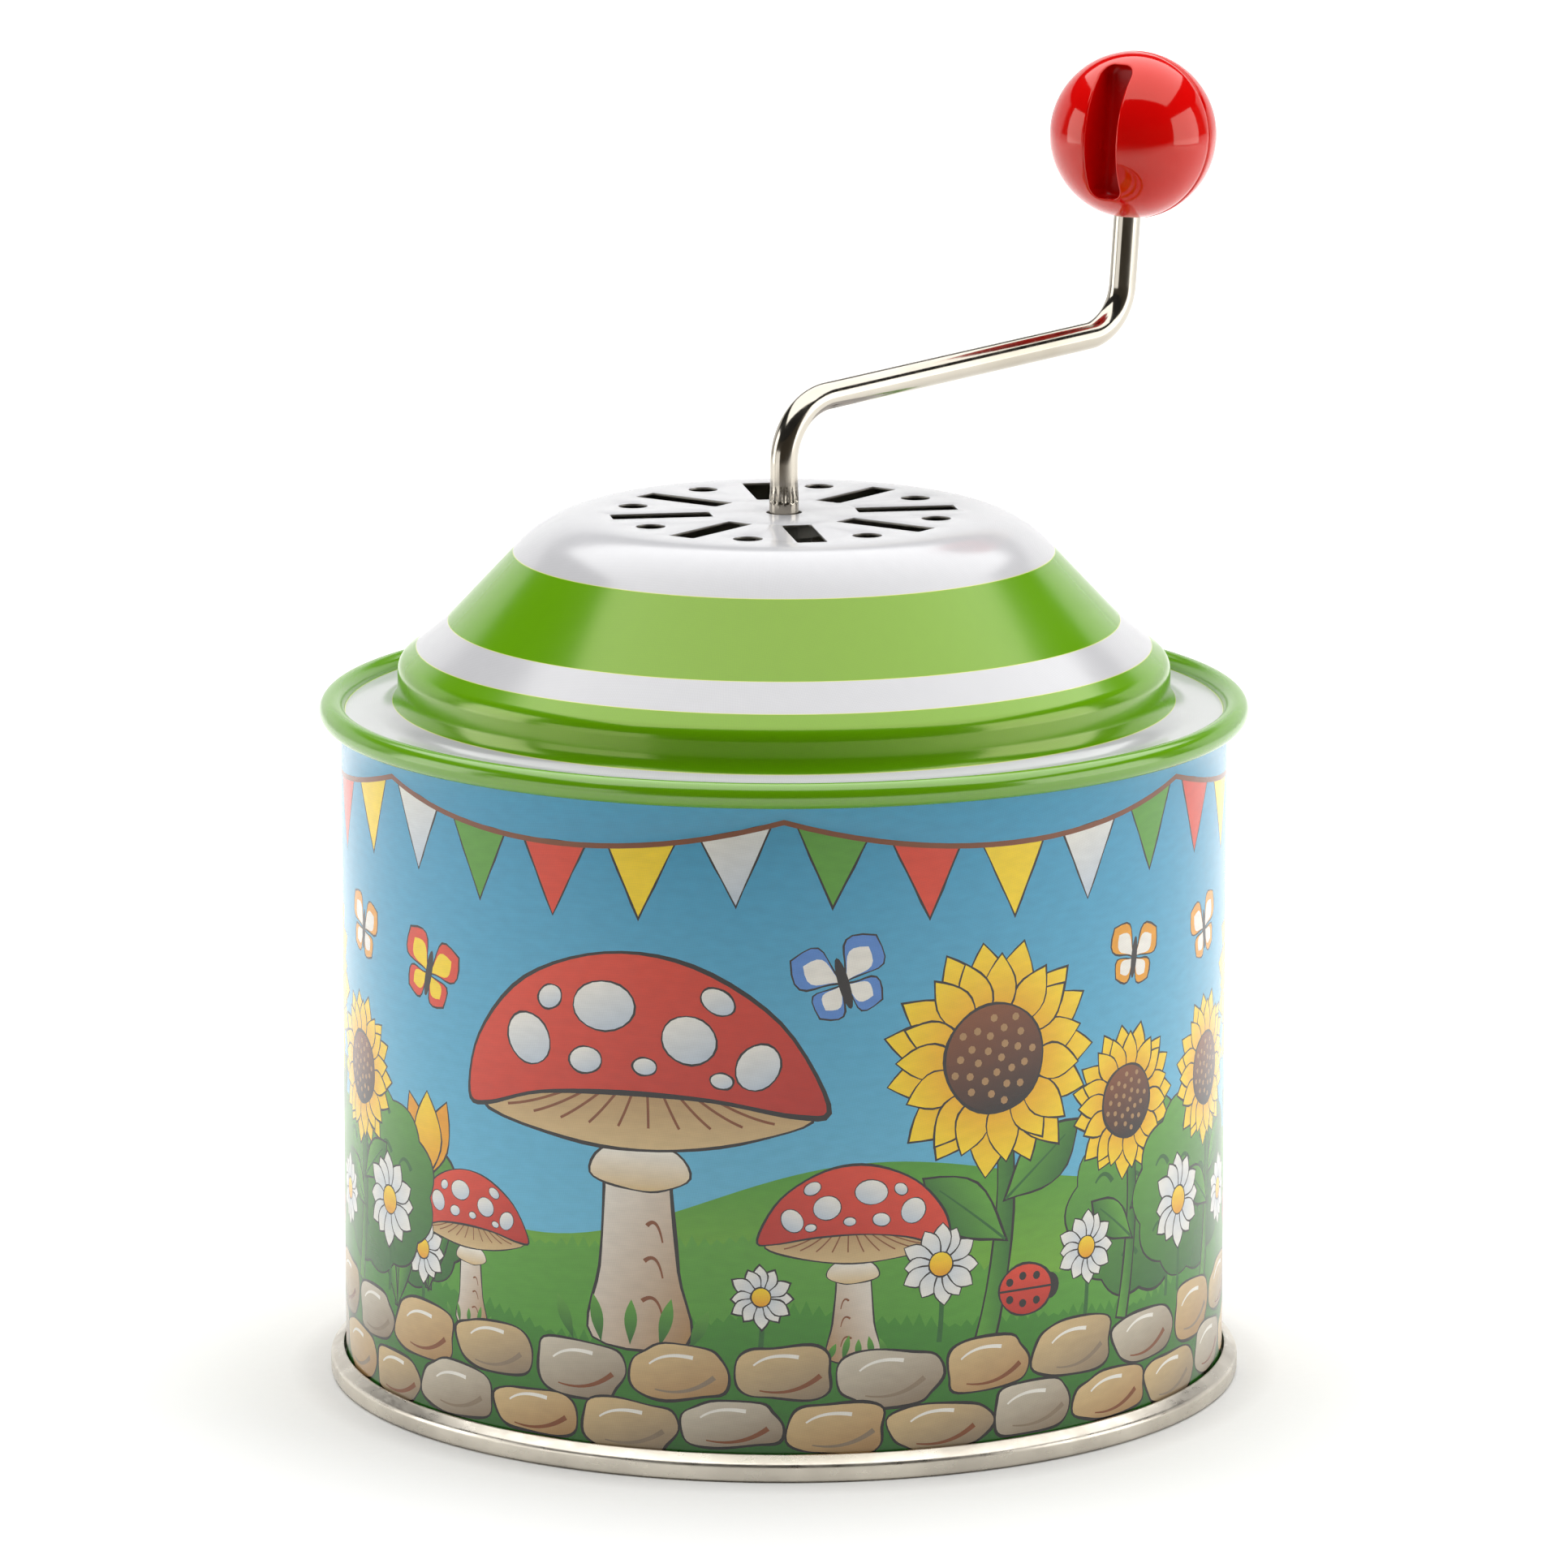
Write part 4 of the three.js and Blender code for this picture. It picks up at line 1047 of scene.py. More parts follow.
    def bush(self, x: float, y: float, size: float) -> None:
        """Print a round bush: a lobed outline with curled marks for its leaves.

        Args:
            x: Its middle.
            y: Its height.
            size: 1 for the large one.
        """
        t = np.arange(88) * TAU / 88
        radius = size * (10.5 + 0.9 * np.abs(np.sin(5.5 * t)) + 0.5 * np.sin(2 * t + 1))
        outline = np.stack([x + 1.15 * radius * np.cos(t), y + radius * np.sin(t)], -1)
        self.lay(outline, Ink.LEAF_LIT, Ink.LEAF_DEEP, (0.4, -1.0), 0.3)
        for k in range(13):
            reach = size * 9.0 * math.sqrt((k + 0.6) / 13)
            a, b = x + 1.1 * reach * math.cos(2.4 * k), y + reach * math.sin(2.4 * k)
            self.lay(stroke([(a - 1.3, b), (a, b + 1.8), (a + 1.4, b - 0.2)], 0.25, 0.65), Ink.LEAF_DEEP)

    def ladybird(self, x: float, y: float, size: float, flip: int) -> None:
        """Print a ladybird from above: a dark head, two red wing cases and six spots.

        Args:
            x: Its middle.
            y: Its height.
            size: Half its width.
            flip: Which way it looks.
        """
        self.lay(ellipse((x + flip * 1.1 * size, y), (0.5 * size, 0.55 * size), 0, 16), Ink.OUTLINE)
        self.lay(ellipse((x, y), (1.2 * size, size), 0, 26), Ink.RED_LIT, Ink.RED_DEEP, edge=0.3)
        line = [(x + flip * 1.2 * size, y), (x, y + 0.05), (x - flip * 1.2 * size, y)]
        self.lay(stroke(line, 0.26, 0.26), Ink.OUTLINE)
        for a, b in ((0.5, 0.5), (0.5, -0.5), (-0.15, 0.55), (-0.15, -0.55), (-0.75, 0.35), (-0.75, -0.35)):
            self.lay(ellipse((x + flip * a * size, y + b * size), (0.17 * size, 0.17 * size), 0, 10), Ink.OUTLINE)

    def butterfly(self, x: float, y: float, size: float, turn: float, lit: Ink, edge: Ink) -> None:
        """Print a butterfly from above: four wings, each with a paler field, and a slim body.

        Args:
            x: Its middle.
            y: Its height.
            size: About a wing's length.
            turn: Its lean in degrees.
            lit: Ink of the fields.
            edge: Ink round them.
        """
        for side in (1, -1):
            for spread, reach, wide in ((40, 1.3, 1.0), (-40, 0.95, 0.8)):
                way = turn + (spread if side > 0 else 180 - spread)
                self.lay(petal((x, y), reach * size, wide * size, way, 0.66), edge, edge, edge=0.22)
                self.lay(petal((x, y), 0.78 * reach * size, 0.62 * wide * size, way, 0.66), lit, lit)
        self.lay(ellipse((x, y), (0.13 * size, 0.62 * size), turn, 16), Ink.OUTLINE)

    def draw_border(self, stones: int) -> None:
        """Print the stone edging round the foot: two staggered rows of worn stones on the dark band.

        A stone is an oval whose sine and cosine are raised to a power below one, which squares it, and whose
        radius wavers by two sines.

        Args:
            stones: Number of stones in a row.
        """
        t = np.arange(11) * TAU / 11
        for row, (height, tall, wide) in enumerate(self.STONE_ROWS):
            for k in range(stones):
                x = (k + 0.5 * row + 0.5) * self.girth / stones - self.girth / 2
                y = height + 0.45 * math.sin(2.1 * k + row)
                worn = 1 + 0.07 * np.sin(2.6 * t + 1.9 * k) + 0.05 * np.sin(4.3 * t + 2.7 * k + row)
                half = (wide + 0.35 * math.sin(3.7 * k), tall + 0.25 * math.sin(2.9 * k + row))
                square = [np.sign(wave) * np.abs(wave) ** 0.72 for wave in (np.cos(t), np.sin(t))]
                outline = smooth(np.stack([x + half[0] * worn * square[0], y + half[1] * worn * square[1]], -1), 4)
                self.lay(outline, *self.STONE_TONES[(2 * k + row) % 3], (0.35, -1.0), 0.34)
                shade = [(x - 0.5 * wide, y - 0.66 * tall), (x + 0.2 * wide, y - 0.92 * tall),
                         (x + 0.74 * wide, y - 0.1 * tall)]
                self.lay(stroke(shade, 0.15, 0.6), Ink.BROWN if (k + row) % 2 else Ink.STONE_DEEP)
                crown = [(x - 0.62 * wide, y + 0.28 * tall), (x - 0.3 * wide, y + 0.8 * tall),
                         (x + 0.3 * wide, y + 0.6 * tall)]
                self.lay(stroke(crown, 0.2, 0.45), Ink.CREAM)

    def cells(self, columns: np.ndarray, rows: np.ndarray, weld: float) -> tuple[np.ndarray, np.ndarray, np.ndarray]:
        """Cut the sheet along every outline and colour the cells.

        Args:
            columns: Where upright lines cut it, which keeps the bent sheet round.
            rows: Where level lines cut it.
            weld: Points closer than this become one.

        Returns:
            Corner places (n, 2), triangles (m, 3) and the ink at each triangle's corners (m, 3, 3).
        """
        left, right = columns[0], columns[-1]
        lines = [np.array([(x, rows[0]), (x, rows[-1])]) for x in columns]
        lines += [np.array([(left, y), (right, y)]) for y in rows]
        copies = []
        for patch in self.patches:
            shifts = (0,) if np.ptp(patch.outline[:, 0]) > self.girth else (-self.girth, 0, self.girth)
            moved = [patch.moved(shift) for shift in shifts]
            copies += [one for one in moved if one.outline[:, 0].min() < right and one.outline[:, 0].max() > left]
        places, triangles = triangulated(lines + [patch.outline for patch in copies], weld)
        middle = places[triangles].mean(1)
        keep = (middle[:, 0] > left) & (middle[:, 0] < right) & (middle[:, 1] > rows[0]) & (middle[:, 1] < rows[-1])
        (places, triangles), middle = in_use(places, triangles[keep]), middle[keep]
        corners = places[triangles]
        share = np.clip((corners[..., 1:] - self.SKY_FOOT) / (self.high - self.SKY_FOOT), 0, 1)
        inks = share * np.array(Ink.SKY_HIGH.value) + (1 - share) * np.array(Ink.SKY_LOW.value)
        for patch in copies:
            covered = within(middle, patch.outline)
            inks[covered] = patch.colours(corners[covered].reshape(-1, 2)).reshape(-1, 3, 3)
        LOG.info("the print has %d patches in %d cells", len(copies), len(triangles))
        return places, triangles, inks


# ---------------------------------------------------------------- the tin

@dataclass
class PrintedCan:
    """The can's wall: a printed sheet rolled into a cylinder, its lip flared inside the rim."""

    radius: float = 50.0
    sheet: float = 0.3
    low: float = 1.4
    lip_start: float = 75.35
    lip_run: float = 0.75
    lap_width: float = 3.0
    lap_rise: float = 0.15
    lap_slope: float = 0.4
    column: float = 2.0
    row: float = 6.0

    def raised(self, x: np.ndarray) -> np.ndarray:
        """Give the lapped side seam's height: full within half its width of the back, sloping to nothing."""
        behind = math.pi * self.radius - np.abs(x)
        return self.lap_rise * np.clip(1 + (self.lap_width / 2 - behind) / self.lap_slope, 0, 1)

    def wrap(self, flat: np.ndarray, inward: float = 0.0) -> np.ndarray:
        """Bend flat places onto the can: x / radius is the angle from the front.

        Args:
            flat: Places on the sheet, shape (n, 2).
            inward: How far inside the printed face they lie.

        Returns:
            Places, shape (n, 3).
        """
        angle = flat[:, 0] / self.radius - math.pi / 2
        radius = self.radius + self.raised(flat[:, 0]) - inward
        return np.stack([radius * np.cos(angle), radius * np.sin(angle), flat[:, 1]], -1)

    def build(self) -> bpy.types.Object:
        """Make the wall: the printed outside, the flared lip and the bare inside, closed at the foot.

        Returns:
            The wall.
        """
        half = math.pi * self.radius
        laps = [half - self.lap_width / 2, half - self.lap_width / 2 - self.lap_slope]
        even = np.linspace(-half, half, round(2 * half / self.column) + 1)
        even = even[(np.abs(even) < laps[1] - 0.5) | (np.abs(even) > half - 0.5)]
        columns = np.sort(np.concatenate([even, laps, np.negative(laps)]))
        rows = np.linspace(self.low, self.lip_start, round((self.lip_start - self.low) / self.row) + 1)
        picture = GardenPrint(2 * half, self.low, self.lip_start)
        flat, triangles, inks = picture.cells(columns, rows, 2e-3)
        run, thick = self.lip_run, self.sheet
        section = [(0.0, self.lip_start), (-run, self.lip_start + run), (thick - run, self.lip_start + run + thick / 2),
                   (thick, self.lip_start + thick / 2), (thick, self.low), (0.0, self.low)]
        rings = [self.wrap(np.stack([columns, np.full(len(columns), height)], -1), inward)
                 for inward, height in section]
        skin = Skin()
        skin.add(self.wrap(flat), triangles, 0, inks, flat[triangles])
        skin.grid(np.stack(rings), 1, closed=False)
        mesh = skin.mesh("printed_can")
        self.shade_round(mesh)
        return new_object(mesh, [self.printed(), TIN_INSIDE.material("can_inside")])

    def shade_round(self, mesh: bpy.types.Mesh) -> None:
        """Give the printed outside the normals of the true surface: outward, less the seam's slope.

        Args:
            mesh: The wall's mesh.
        """
        x, y, z = vertex_places(mesh).T
        angle = np.arctan2(y, x)
        along = ((angle + 3 * math.pi / 2) % TAU - math.pi) * self.radius
        step = 0.25
        slope = (self.raised(along + step) - self.raised(along - step)) / (2 * step)
        normals = np.stack([np.cos(angle) + slope * np.sin(angle), np.sin(angle) - slope * np.cos(angle), 0 * x], -1)
        outside = (np.hypot(x, y) > self.radius - self.sheet / 2) & (z < self.lip_start - 1e-3)
        normals[~outside] = 0
        mesh.normals_split_custom_set_from_vertices(normals.tolist())

    def printed(self) -> bpy.types.Material:
        """Make the lacquered print from the mesh's inks and its flat coordinates.

        Returns:
            The material.
        """
        recipe = Recipe("garden_print")
        ink = recipe.node("Attribute", attribute_name="print").outputs["Color"]
        flat = recipe.sheet()
        return CAN_LACQUER.coat(recipe, CAN_LACQUER.screened(recipe, ink, flat))


@dataclass
class DomeLid:
    """The pressed lid: a flat top with sound openings, two cones, a wall, a flange and the rolled rim.

    On its flat sheet, the first coordinate is the distance from the flat top along the lid, which its rings
    follow. The flat top itself is shifted to before the first ring.
    """

    sheet: float = 0.3
    sheet_radius: float = 40.0
    top_shift: float = 60.0
    top_height: float = 98.65
    hole_radius: float = 2.0
    corners: tuple[Triple, ...] = (
        (26.4, 98.65, 12.0), (37.86, 86.5, 0.7), (43.55, 81.9, 2.2), (43.55, 76.4, 2.8), (49.6, 76.4, 0.1),
        (49.6, 76.5, 0.0),
    )
    ring_edges: tuple[Pair, ...] = (
        (30.5, 94.3), (37.86, 86.5), (41.46, 83.6), (44.35, 77.6), (49.5, 76.4),
    )
    key_line: Pair = (-0.04, 0.03)
    key_blur: float = 0.03
    ring_sheen: Colour = (1.0, 1.0, 0.5)
    rim_sheen: Colour = (1.0, 1.0, 0.85)
    rim_radius: float = 51.0
    rim_height: float = 76.5
    rim_tube: float = 1.4
    rim_end: float = -108.0
    slot_turn: float = -80.7
    slot_reach: Pair = (8.3, 19.6)
    slot_width: float = 3.35
    slot_round: float = 0.3
    vent_circle: float = 17.5
    vent_radius: float = 1.65
    punch_round: float = 0.1
    sides: int = 160

    def outer_line(self) -> np.ndarray:
        """Run from the curl's end over the rim and up the lid to the edge of the flat top.

        The rim is a circle's arc about its centre, and the rest is straight runs with rounded corners.

        Returns:
            Radii and heights, shape (n, 2).
        """
        pressed = rounded([(0.0, self.top_height, 0.0), *self.corners], 6)[1:][::-1]
        swept = np.radians(np.linspace(self.rim_end, 180, 42))[:, None]
        centre = np.array([self.rim_radius, self.rim_height])
        curl = centre + self.rim_tube * np.concatenate([np.cos(swept), np.sin(swept)], 1)
        return np.concatenate([curl, pressed[2:]])

    def openings(self) -> list[np.ndarray]:
        """Outline the openings: slots with slightly rounded corners, round vents, and the crank's hole.

        Returns:
            The outlines, each turning to the left.
        """
        low, high, half, fillet = *self.slot_reach, self.slot_width / 2, self.slot_round
        bar = [(low, 0, 0), (low, -half, fillet), (high, -half, fillet), (high, half, fillet), (low, half, fillet)]
        slot = rounded([*bar, (low, 0, 0)], 15)[:-1]
        loops = []
        for k in range(8):
            for outline, turn in ((slot, k), (ellipse((self.vent_circle, 0), (self.vent_radius,) * 2, 0, 36), k + 0.5)):
                c, s = heading(self.slot_turn + 45 * turn)
                loops.append(outline @ np.array([[c, s], [-s, c]]))
        return [*loops, ellipse((0, 0), (self.hole_radius,) * 2, 0, 48)]

    def build(self) -> bpy.types.Object:
        """Make the lid as one closed sheet: printed outside, bare inside.

        Returns:
            The lid.
        """
        outer = self.outer_line()
        inner = offset(outer, self.sheet)
        inner[-1] = outer[-1] - [0, self.sheet]
        run = np.concatenate([[0], np.cumsum(np.hypot(*np.diff(outer, axis=0).T))])
        along = run[-1] - run
        skin = Skin()
        arc = np.linspace(0, TAU, self.sides + 1) * self.sheet_radius
        flats = np.stack([along[:, None] + 0 * arc, 0 * along[:, None] + arc], -1)
        skin.grid(turned(outer, self.sides), 0, flats=flats)
        skin.grid(turned(inner[::-1], self.sides), 1)
        end = (outer[0] + inner[0]) / 2 + (outer[0] - outer[1]) * 0.3
        skin.grid(turned(np.stack([inner[0], end, outer[0]]), self.sides), 1)
        self.pierce(skin, outer[-1, 0])
        mesh = skin.mesh("lid_shell", sharp=50)
        return new_object(mesh, [self.ringed(outer, along), TIN_INSIDE.material("lid_inside")])

    def pierce(self, skin: Skin, edge: float) -> None:
        """Add the flat top with its openings, whose upper edges are drawn down in a quarter circle.

        Args:
            skin: The lid's surface.
            edge: The flat top's radius.
        """
        rim = turned(np.array([(edge, 0.0)]), self.sides)[0, :, :2]
        openings, top, fillet = self.openings(), self.top_height, self.punch_round
        opened = [offset(loop, -fillet, closed=True) for loop in openings]
        for loops, height, slot in ((opened, top, 0), (openings, top - self.sheet, 1)):
            places, triangles = cut_plate(rim, loops)
            flats = None if slot else places[triangles] - [self.top_shift, 0]
            skin.add(lifted(places, height), flipped(triangles, slot == 1), slot, None, flats)
        for loop in openings:
            rows = [lifted(offset(loop, -fillet * across, True), top - fillet * down)
                    for across, down in quarter_round(4)]
            skin.grid(np.stack(rows), 0, flats=np.full((4, len(loop) + 1, 2), -1.0))  # before the first ring
            skin.grid(np.stack([rows[-1], lifted(loop, top - self.sheet)]), 1)

    def ringed(self, outer: np.ndarray, along: np.ndarray) -> bpy.types.Material:
        """Print the lid's rings: the ink changes where the distance from the flat top passes each edge.

        Args:
            outer: The outer line.
            along: Each of its points' distance from the flat top.

        Returns:
            The lacquered material.
        """
        pressed = (outer[:, 0] < self.rim_radius) & (outer[:, 1] > self.rim_height - 0.5)
        line, run = outer[pressed], along[pressed]
        fine = np.linspace(0, run.max(), 4000)
        order = np.argsort(run)
        spots = np.stack([np.interp(fine, run[order], line[order, k]) for k in (0, 1)], -1)
        edges = [float(fine[np.argmin(np.hypot(*(spots - place).T))]) for place in self.ring_edges]
        recipe = Recipe("ringed_print")
        flat = recipe.sheet()
        along_sheet = recipe.node("SeparateXYZ", {0: flat}).outputs[0]
        ink: object = Ink.WHITE.value
        sheen: object = (1.0, 1.0, 1.0)
        for k, edge in enumerate(edges):
            after = Ink.LID_GREEN if k % 2 == 0 else Ink.WHITE
            green = self.ring_sheen if k < len(edges) - 1 else self.rim_sheen
            for start, tint in zip(self.key_line, (Ink.KEY_LINE, after)):
                low, high = ((edge + start + way * self.key_blur) * MM for way in (-1, 1))
                share = recipe.ramp(along_sheet, low, high, 0.0, 1.0)
                ink = recipe.blend(share, ink, tint.value)
                sheen = recipe.blend(share, sheen, (1.0, 1.0, 1.0) if tint is Ink.WHITE else green)
        return LID_LACQUER.coat(recipe, LID_LACQUER.screened(recipe, ink, flat), sheen)


@dataclass
class SeamedBottom:
    """The bottom: a recessed, beaded panel, its upright wall and the seam that grips the can's foot."""

    outer: float = 51.74
    height: float = 2.9
    foot_round: float = 0.5
    shoulder: Pair = (50.45, 1.98)
    hook: float = 50.25
    groove_floor: float = 1.1
    wall: Pair = (49.1, 49.4)
    panel: Pair = (3.3, 3.6)
    bead: Pair = (4.2, 4.5)
    bead_from: Pair = (44.1, 45.0)
    sides: int = 160

    def build(self) -> bpy.types.Object:
        """Turn the bottom's closed profile, from the underside's middle outwards and back over the top.

        It runs along the panel and its bead, down the wall, under the seam, up its face, over its sloping
        shoulder, down into the groove that grips the can, and back over the wall and the panel's top.

        Returns:
            The bottom.
        """
        (inside, outside), (under, over), (low, high), (start, full) = self.wall, self.panel, self.bead, self.bead_from
        inner, waist = self.shoulder
        profile = [(0, under, 0), (start, under, 0.8), (full, low, 0.8), (inside, low, 0.6), (inside, 0, 0.45),
                   (self.outer, 0, self.foot_round), (self.outer, waist, 0.69), (inner, self.height, 0.4),
                   (self.hook, self.height, 0.05), (self.hook, self.groove_floor, 0.1),
                   (outside, self.groove_floor, 0.1), (outside, high, 0.3), (full, high, 1.0), (start, over, 0.6),
                   (0, over, 0)]
        skin = Skin()
        skin.grid(turned(rounded(profile, 8), self.sides))
        return new_object(skin.mesh("seamed_bottom"), [TINPLATE.material("bright_tinplate")])


@dataclass
class CrankWire:
    """The crank: one plated wire, bent twice in an upright plane, with a grooved collar at the lid."""

    top: float = 98.65
    turn: float = 42.0
    radius: float = 1.575
    collar: float = 1.665
    collar_rise: float = 0.7
    taper: float = 2.6
    flutes: int = 15
    groove: float = 0.14
    groove_share: float = 0.34
    groove_foot: float = 1.15
    groove_top: float = 3.05
    groove_point: float = 1.1
    corners: tuple[Triple, ...] = (
        (0.0, -14.4, 0.0), (0.0, 12.05, 7.0), (52.16, 15.3, 6.0), (54.41, 41.12, 0.0),
    )
    sides: int = 180

    def centre_line(self) -> np.ndarray:
        """Run along the wire: the rounded corners, with more points on the flutes and along the straights.

        Returns:
            Places in the wire's upright plane, shape (n, 2).
        """
        line = finely(rounded(list(self.corners), 4), 2.5)
        rise = np.linspace(-0.5, self.groove_top + 0.4, 46)
        low = line[line[:, 1] < rise[0] - 0.3]
        high = line[line[:, 1] > rise[-1] + 0.3]
        return np.concatenate([low, np.stack([0 * rise, rise], -1), high])

    def build(self) -> bpy.types.Object:
        """Carry a circle along the centre line, thicker at the collar, where narrow grooves are pressed in.

        The collar's height falls by a half cosine over the taper. With u the distance from the middle of a
        groove as a share of the flutes' pitch, a groove is groove * cos(pi / 2 * u / width) deep. It starts
        bluntly above the collar's foot, and its width shrinks to nothing over its last millimetre.

        Returns:
            The crank.
        """
        line = self.centre_line()
        into = np.gradient(line, axis=0)
        into /= np.hypot(into[:, 0], into[:, 1])[:, None]
        side = np.stack([into[:, 1], -into[:, 0]], -1)
        angle = np.arange(self.sides) * TAU / self.sides
        rise = np.where(np.abs(line[:, 0]) < 1e-9, line[:, 1], 1e3)[:, None]
        share = 0.5 + 0.5 * np.cos(math.pi * np.clip((rise - self.collar_rise) / self.taper, 0, 1))
        width = self.groove_share * np.clip((self.groove_top - rise) / self.groove_point, 1e-6, 1)
        away = np.abs((angle * self.flutes / TAU + 0.5) % 1 - 0.5)
        sunk = self.groove * np.cos(math.pi / 2 * np.clip(away / width, 0, 1)) * (rise < self.groove_top)
        sunk = sunk * np.clip((rise - self.groove_foot) / 0.15, 0, 1)
        radius = self.radius + (self.collar - self.radius) * share - sunk
        across = (radius * np.cos(angle))[..., None] * side[:, None]
        rings = np.stack([line[:, None, 0] + across[..., 0], radius * np.sin(angle),
                          line[:, None, 1] + across[..., 1]], -1)
        first, last = rings[0], rings[-1]
        tip = np.array([into[-1, 0], 0, into[-1, 1]]) * 0.3
        caps = [(1 - k) * ring.mean(0) + k * ring for ring in (first, last) for k in (0.0, 0.85)]
        points = np.concatenate([caps[:2], rings, [caps[3] + tip, caps[2] + tip]]) + [0, 0, self.top]
        skin = Skin()
        skin.grid(points)
        mesh = skin.mesh("crank_bar")
        mesh.transform(Matrix.Rotation(math.radians(self.turn), 4, "Z"))
        return new_object(mesh, [NICKEL.material("nickel_plate")])


@dataclass
class BallKnob:
    """The ball knob: two moulded halves with a groove between them, a pocket in each, and the wire's hole."""

    centre: Triple = (40.215, 36.21, 136.385)
    crank_turn: float = 42.0
    lean: float = 4.98
    turn: float = -68.0
    radius: float = 9.62
    lip: float = 0.04
    groove: float = 0.2
    groove_width: float = 0.18
    pocket: Pair = (3.8, 15.3)
    pocket_lift: float = 0.55
    pocket_round: float = 1.3
    web: float = 3.25
    edge_round: float = 0.32
    floor_round: float = 0.7
    bore: float = 1.85
    bore_round: float = 0.25
    bore_depth: float = 3.0
    spacing: float = 0.42
    sides: int = 150

    def surface(self, disc: np.ndarray, side: int) -> tuple[np.ndarray, np.ndarray]:
        """Put disc places onto the ball: distance from the disc's middle is the arc from the pocket's pole.

        The radius dips by a bell curve at the parting edge, a quarter turn away.

        Args:
            disc: Places, shape (n, 2).
            side: -1 for the half towards -Y, 1 for the other, which is a little larger.

        Returns:
            Places and unit normals, each of shape (n, 3).
        """
        arc = np.hypot(disc[:, 0], disc[:, 1])
        psi = arc / self.radius
        unit = disc / np.maximum(arc, 1e-9)[:, None]
        away = (math.pi / 2 - psi) * self.radius / self.groove_width
        dip = self.groove * np.exp(-(away**2))
        radius = self.radius + (self.lip if side > 0 else 0) * (away > 1e-3) - dip
        slope = -2 * away * dip / self.groove_width
        out = np.stack([unit[:, 0] * np.sin(psi), side * np.cos(psi), unit[:, 1] * np.sin(psi)], -1)
        down = np.stack([unit[:, 0] * np.cos(psi), -side * np.sin(psi), unit[:, 1] * np.cos(psi)], -1)
        return out * radius[:, None], out - down * slope[:, None]

    def to_disc(self, places: np.ndarray, side: int) -> np.ndarray:
        """Find the disc places of points near the ball: the arc from the pole, along their way in XZ.

        Args:
            places: Places, shape (n, 3), from the ball's centre.
            side: Which half.

        Returns:
            Places on the disc, shape (n, 2).
        """
        length = np.maximum(np.linalg.norm(places, axis=1), 1e-9)
        psi = np.arccos(np.clip(side * places[:, 1] / length, -1, 1))
        flat = places[:, [0, 2]]
        return flat / np.maximum(np.hypot(*flat.T), 1e-9)[:, None] * (psi * self.radius)[:, None]

    def pocket_line(self) -> np.ndarray:
        """Outline the pocket, an upright rectangle with round corners, turning to the left.

        Returns:
            The outline, shape (n, 2).
        """
        (wide, tall), lift, fillet = self.pocket, self.pocket_lift, self.pocket_round
        half, low, high, middle = wide / 2, lift - tall / 2, lift + tall / 2, (wide / 2, lift, 0.0)
        corners = [middle, (half, high, fillet), (-half, high, fillet), (-half, low, fillet), (half, low, fillet),
                   middle]
        return finely(rounded(corners, 11), 1.0)[:-1]

    def half(self, skin: Skin, side: int) -> None:
        """Add one half: its outside, cut round the pocket and the wire's hole, and both their insides.

        The disc's edge runs from one side of the wire's hole round to the other, and back along the hole.

        Args:
            skin: The knob's surface.
            side: -1 for the half towards -Y, 1 for the other.
        """
        quarter = self.radius * math.pi / 2
        polar = math.asin((self.bore + self.bore_round) / self.radius)
        sweep = np.linspace(polar - math.pi / 2, 3 * math.pi / 2 - polar, self.sides)
        edge = quarter * np.stack([np.cos(sweep), np.sin(sweep)], -1)
        t = np.linspace(math.pi, 0, 31)[1:-1]
        brink = np.stack([math.sin(polar) * np.cos(t), side * math.sin(polar) * np.sin(t),
                          -math.cos(polar) + 0 * t], -1)
        border = np.concatenate([edge, self.to_disc(brink, side)])
        rings = [edge * (1 - gap / quarter) for gap in (0.07, 0.14, 0.22, 0.34)]
        line = self.pocket_line()
        opened = offset(line, -self.edge_round, True)
        depth = np.sqrt(self.radius**2 - (opened**2).sum(1))
        mouth = self.to_disc(upright(opened, side * depth), side)
        for arc in np.arange(self.spacing, quarter - 0.55, self.spacing):
            rings.append(ellipse((0, 0), (arc, arc), 31 * arc, max(6, round(TAU * arc / self.spacing))))
        loose = np.concatenate(rings)
        clear = within(loose, offset(border, 0.03, True)) & ~within(loose, offset(mouth, -0.12, True))
        places, triangles = cut_plate(border, [mouth], loose[clear])
        points, _ = self.surface(places, side)
        skin.add(points, flipped(triangles, side > 0))
        self.pocket_inside(skin, line, side)
        start = self.surface(border[self.sides - 1 :], side)[0]
        self.hole_inside(skin, np.concatenate([start, self.surface(edge[:1], side)[0]]), side)

    def pocket_inside(self, skin: Skin, line: np.ndarray, side: int) -> None:
        """Add the pocket: a quarter round at its mouth, a straight wall, a rounded foot and a flat floor.

        Args:
            skin: The knob's surface.
            line: The pocket's outline.
            side: Which half.
        """
        rows = []
        for across, down in quarter_round(6):
            out = offset(line, -self.edge_round * across, True)
            rows.append((out, np.sqrt(self.radius**2 - (out**2).sum(1)) - self.edge_round * down))
        for share in (0.3, 0.65, 1.0):
            rows.append((line, rows[5][1] * (1 - share) + (self.web + self.floor_round) * share))
        for above, across in quarter_round(5)[1:]:
            rows.append((offset(line, self.floor_round * across, True), self.web + self.floor_round * above))
        grid = np.stack([upright(out, side * depth) for out, depth in rows])
        grid[0] = self.surface(self.to_disc(grid[0], side), side)[0]
        grid = flipped(grid, side > 0)
        skin.grid(grid[:6])
        # the pocket's wall and floor take slot 1, the darker red: painted shade in the pocket
        skin.grid(grid[5:], 1)
        places, triangles = cut_plate(rows[-1][0], [])
        skin.add(upright(places, side * self.web), flipped(triangles, side > 0), 1)

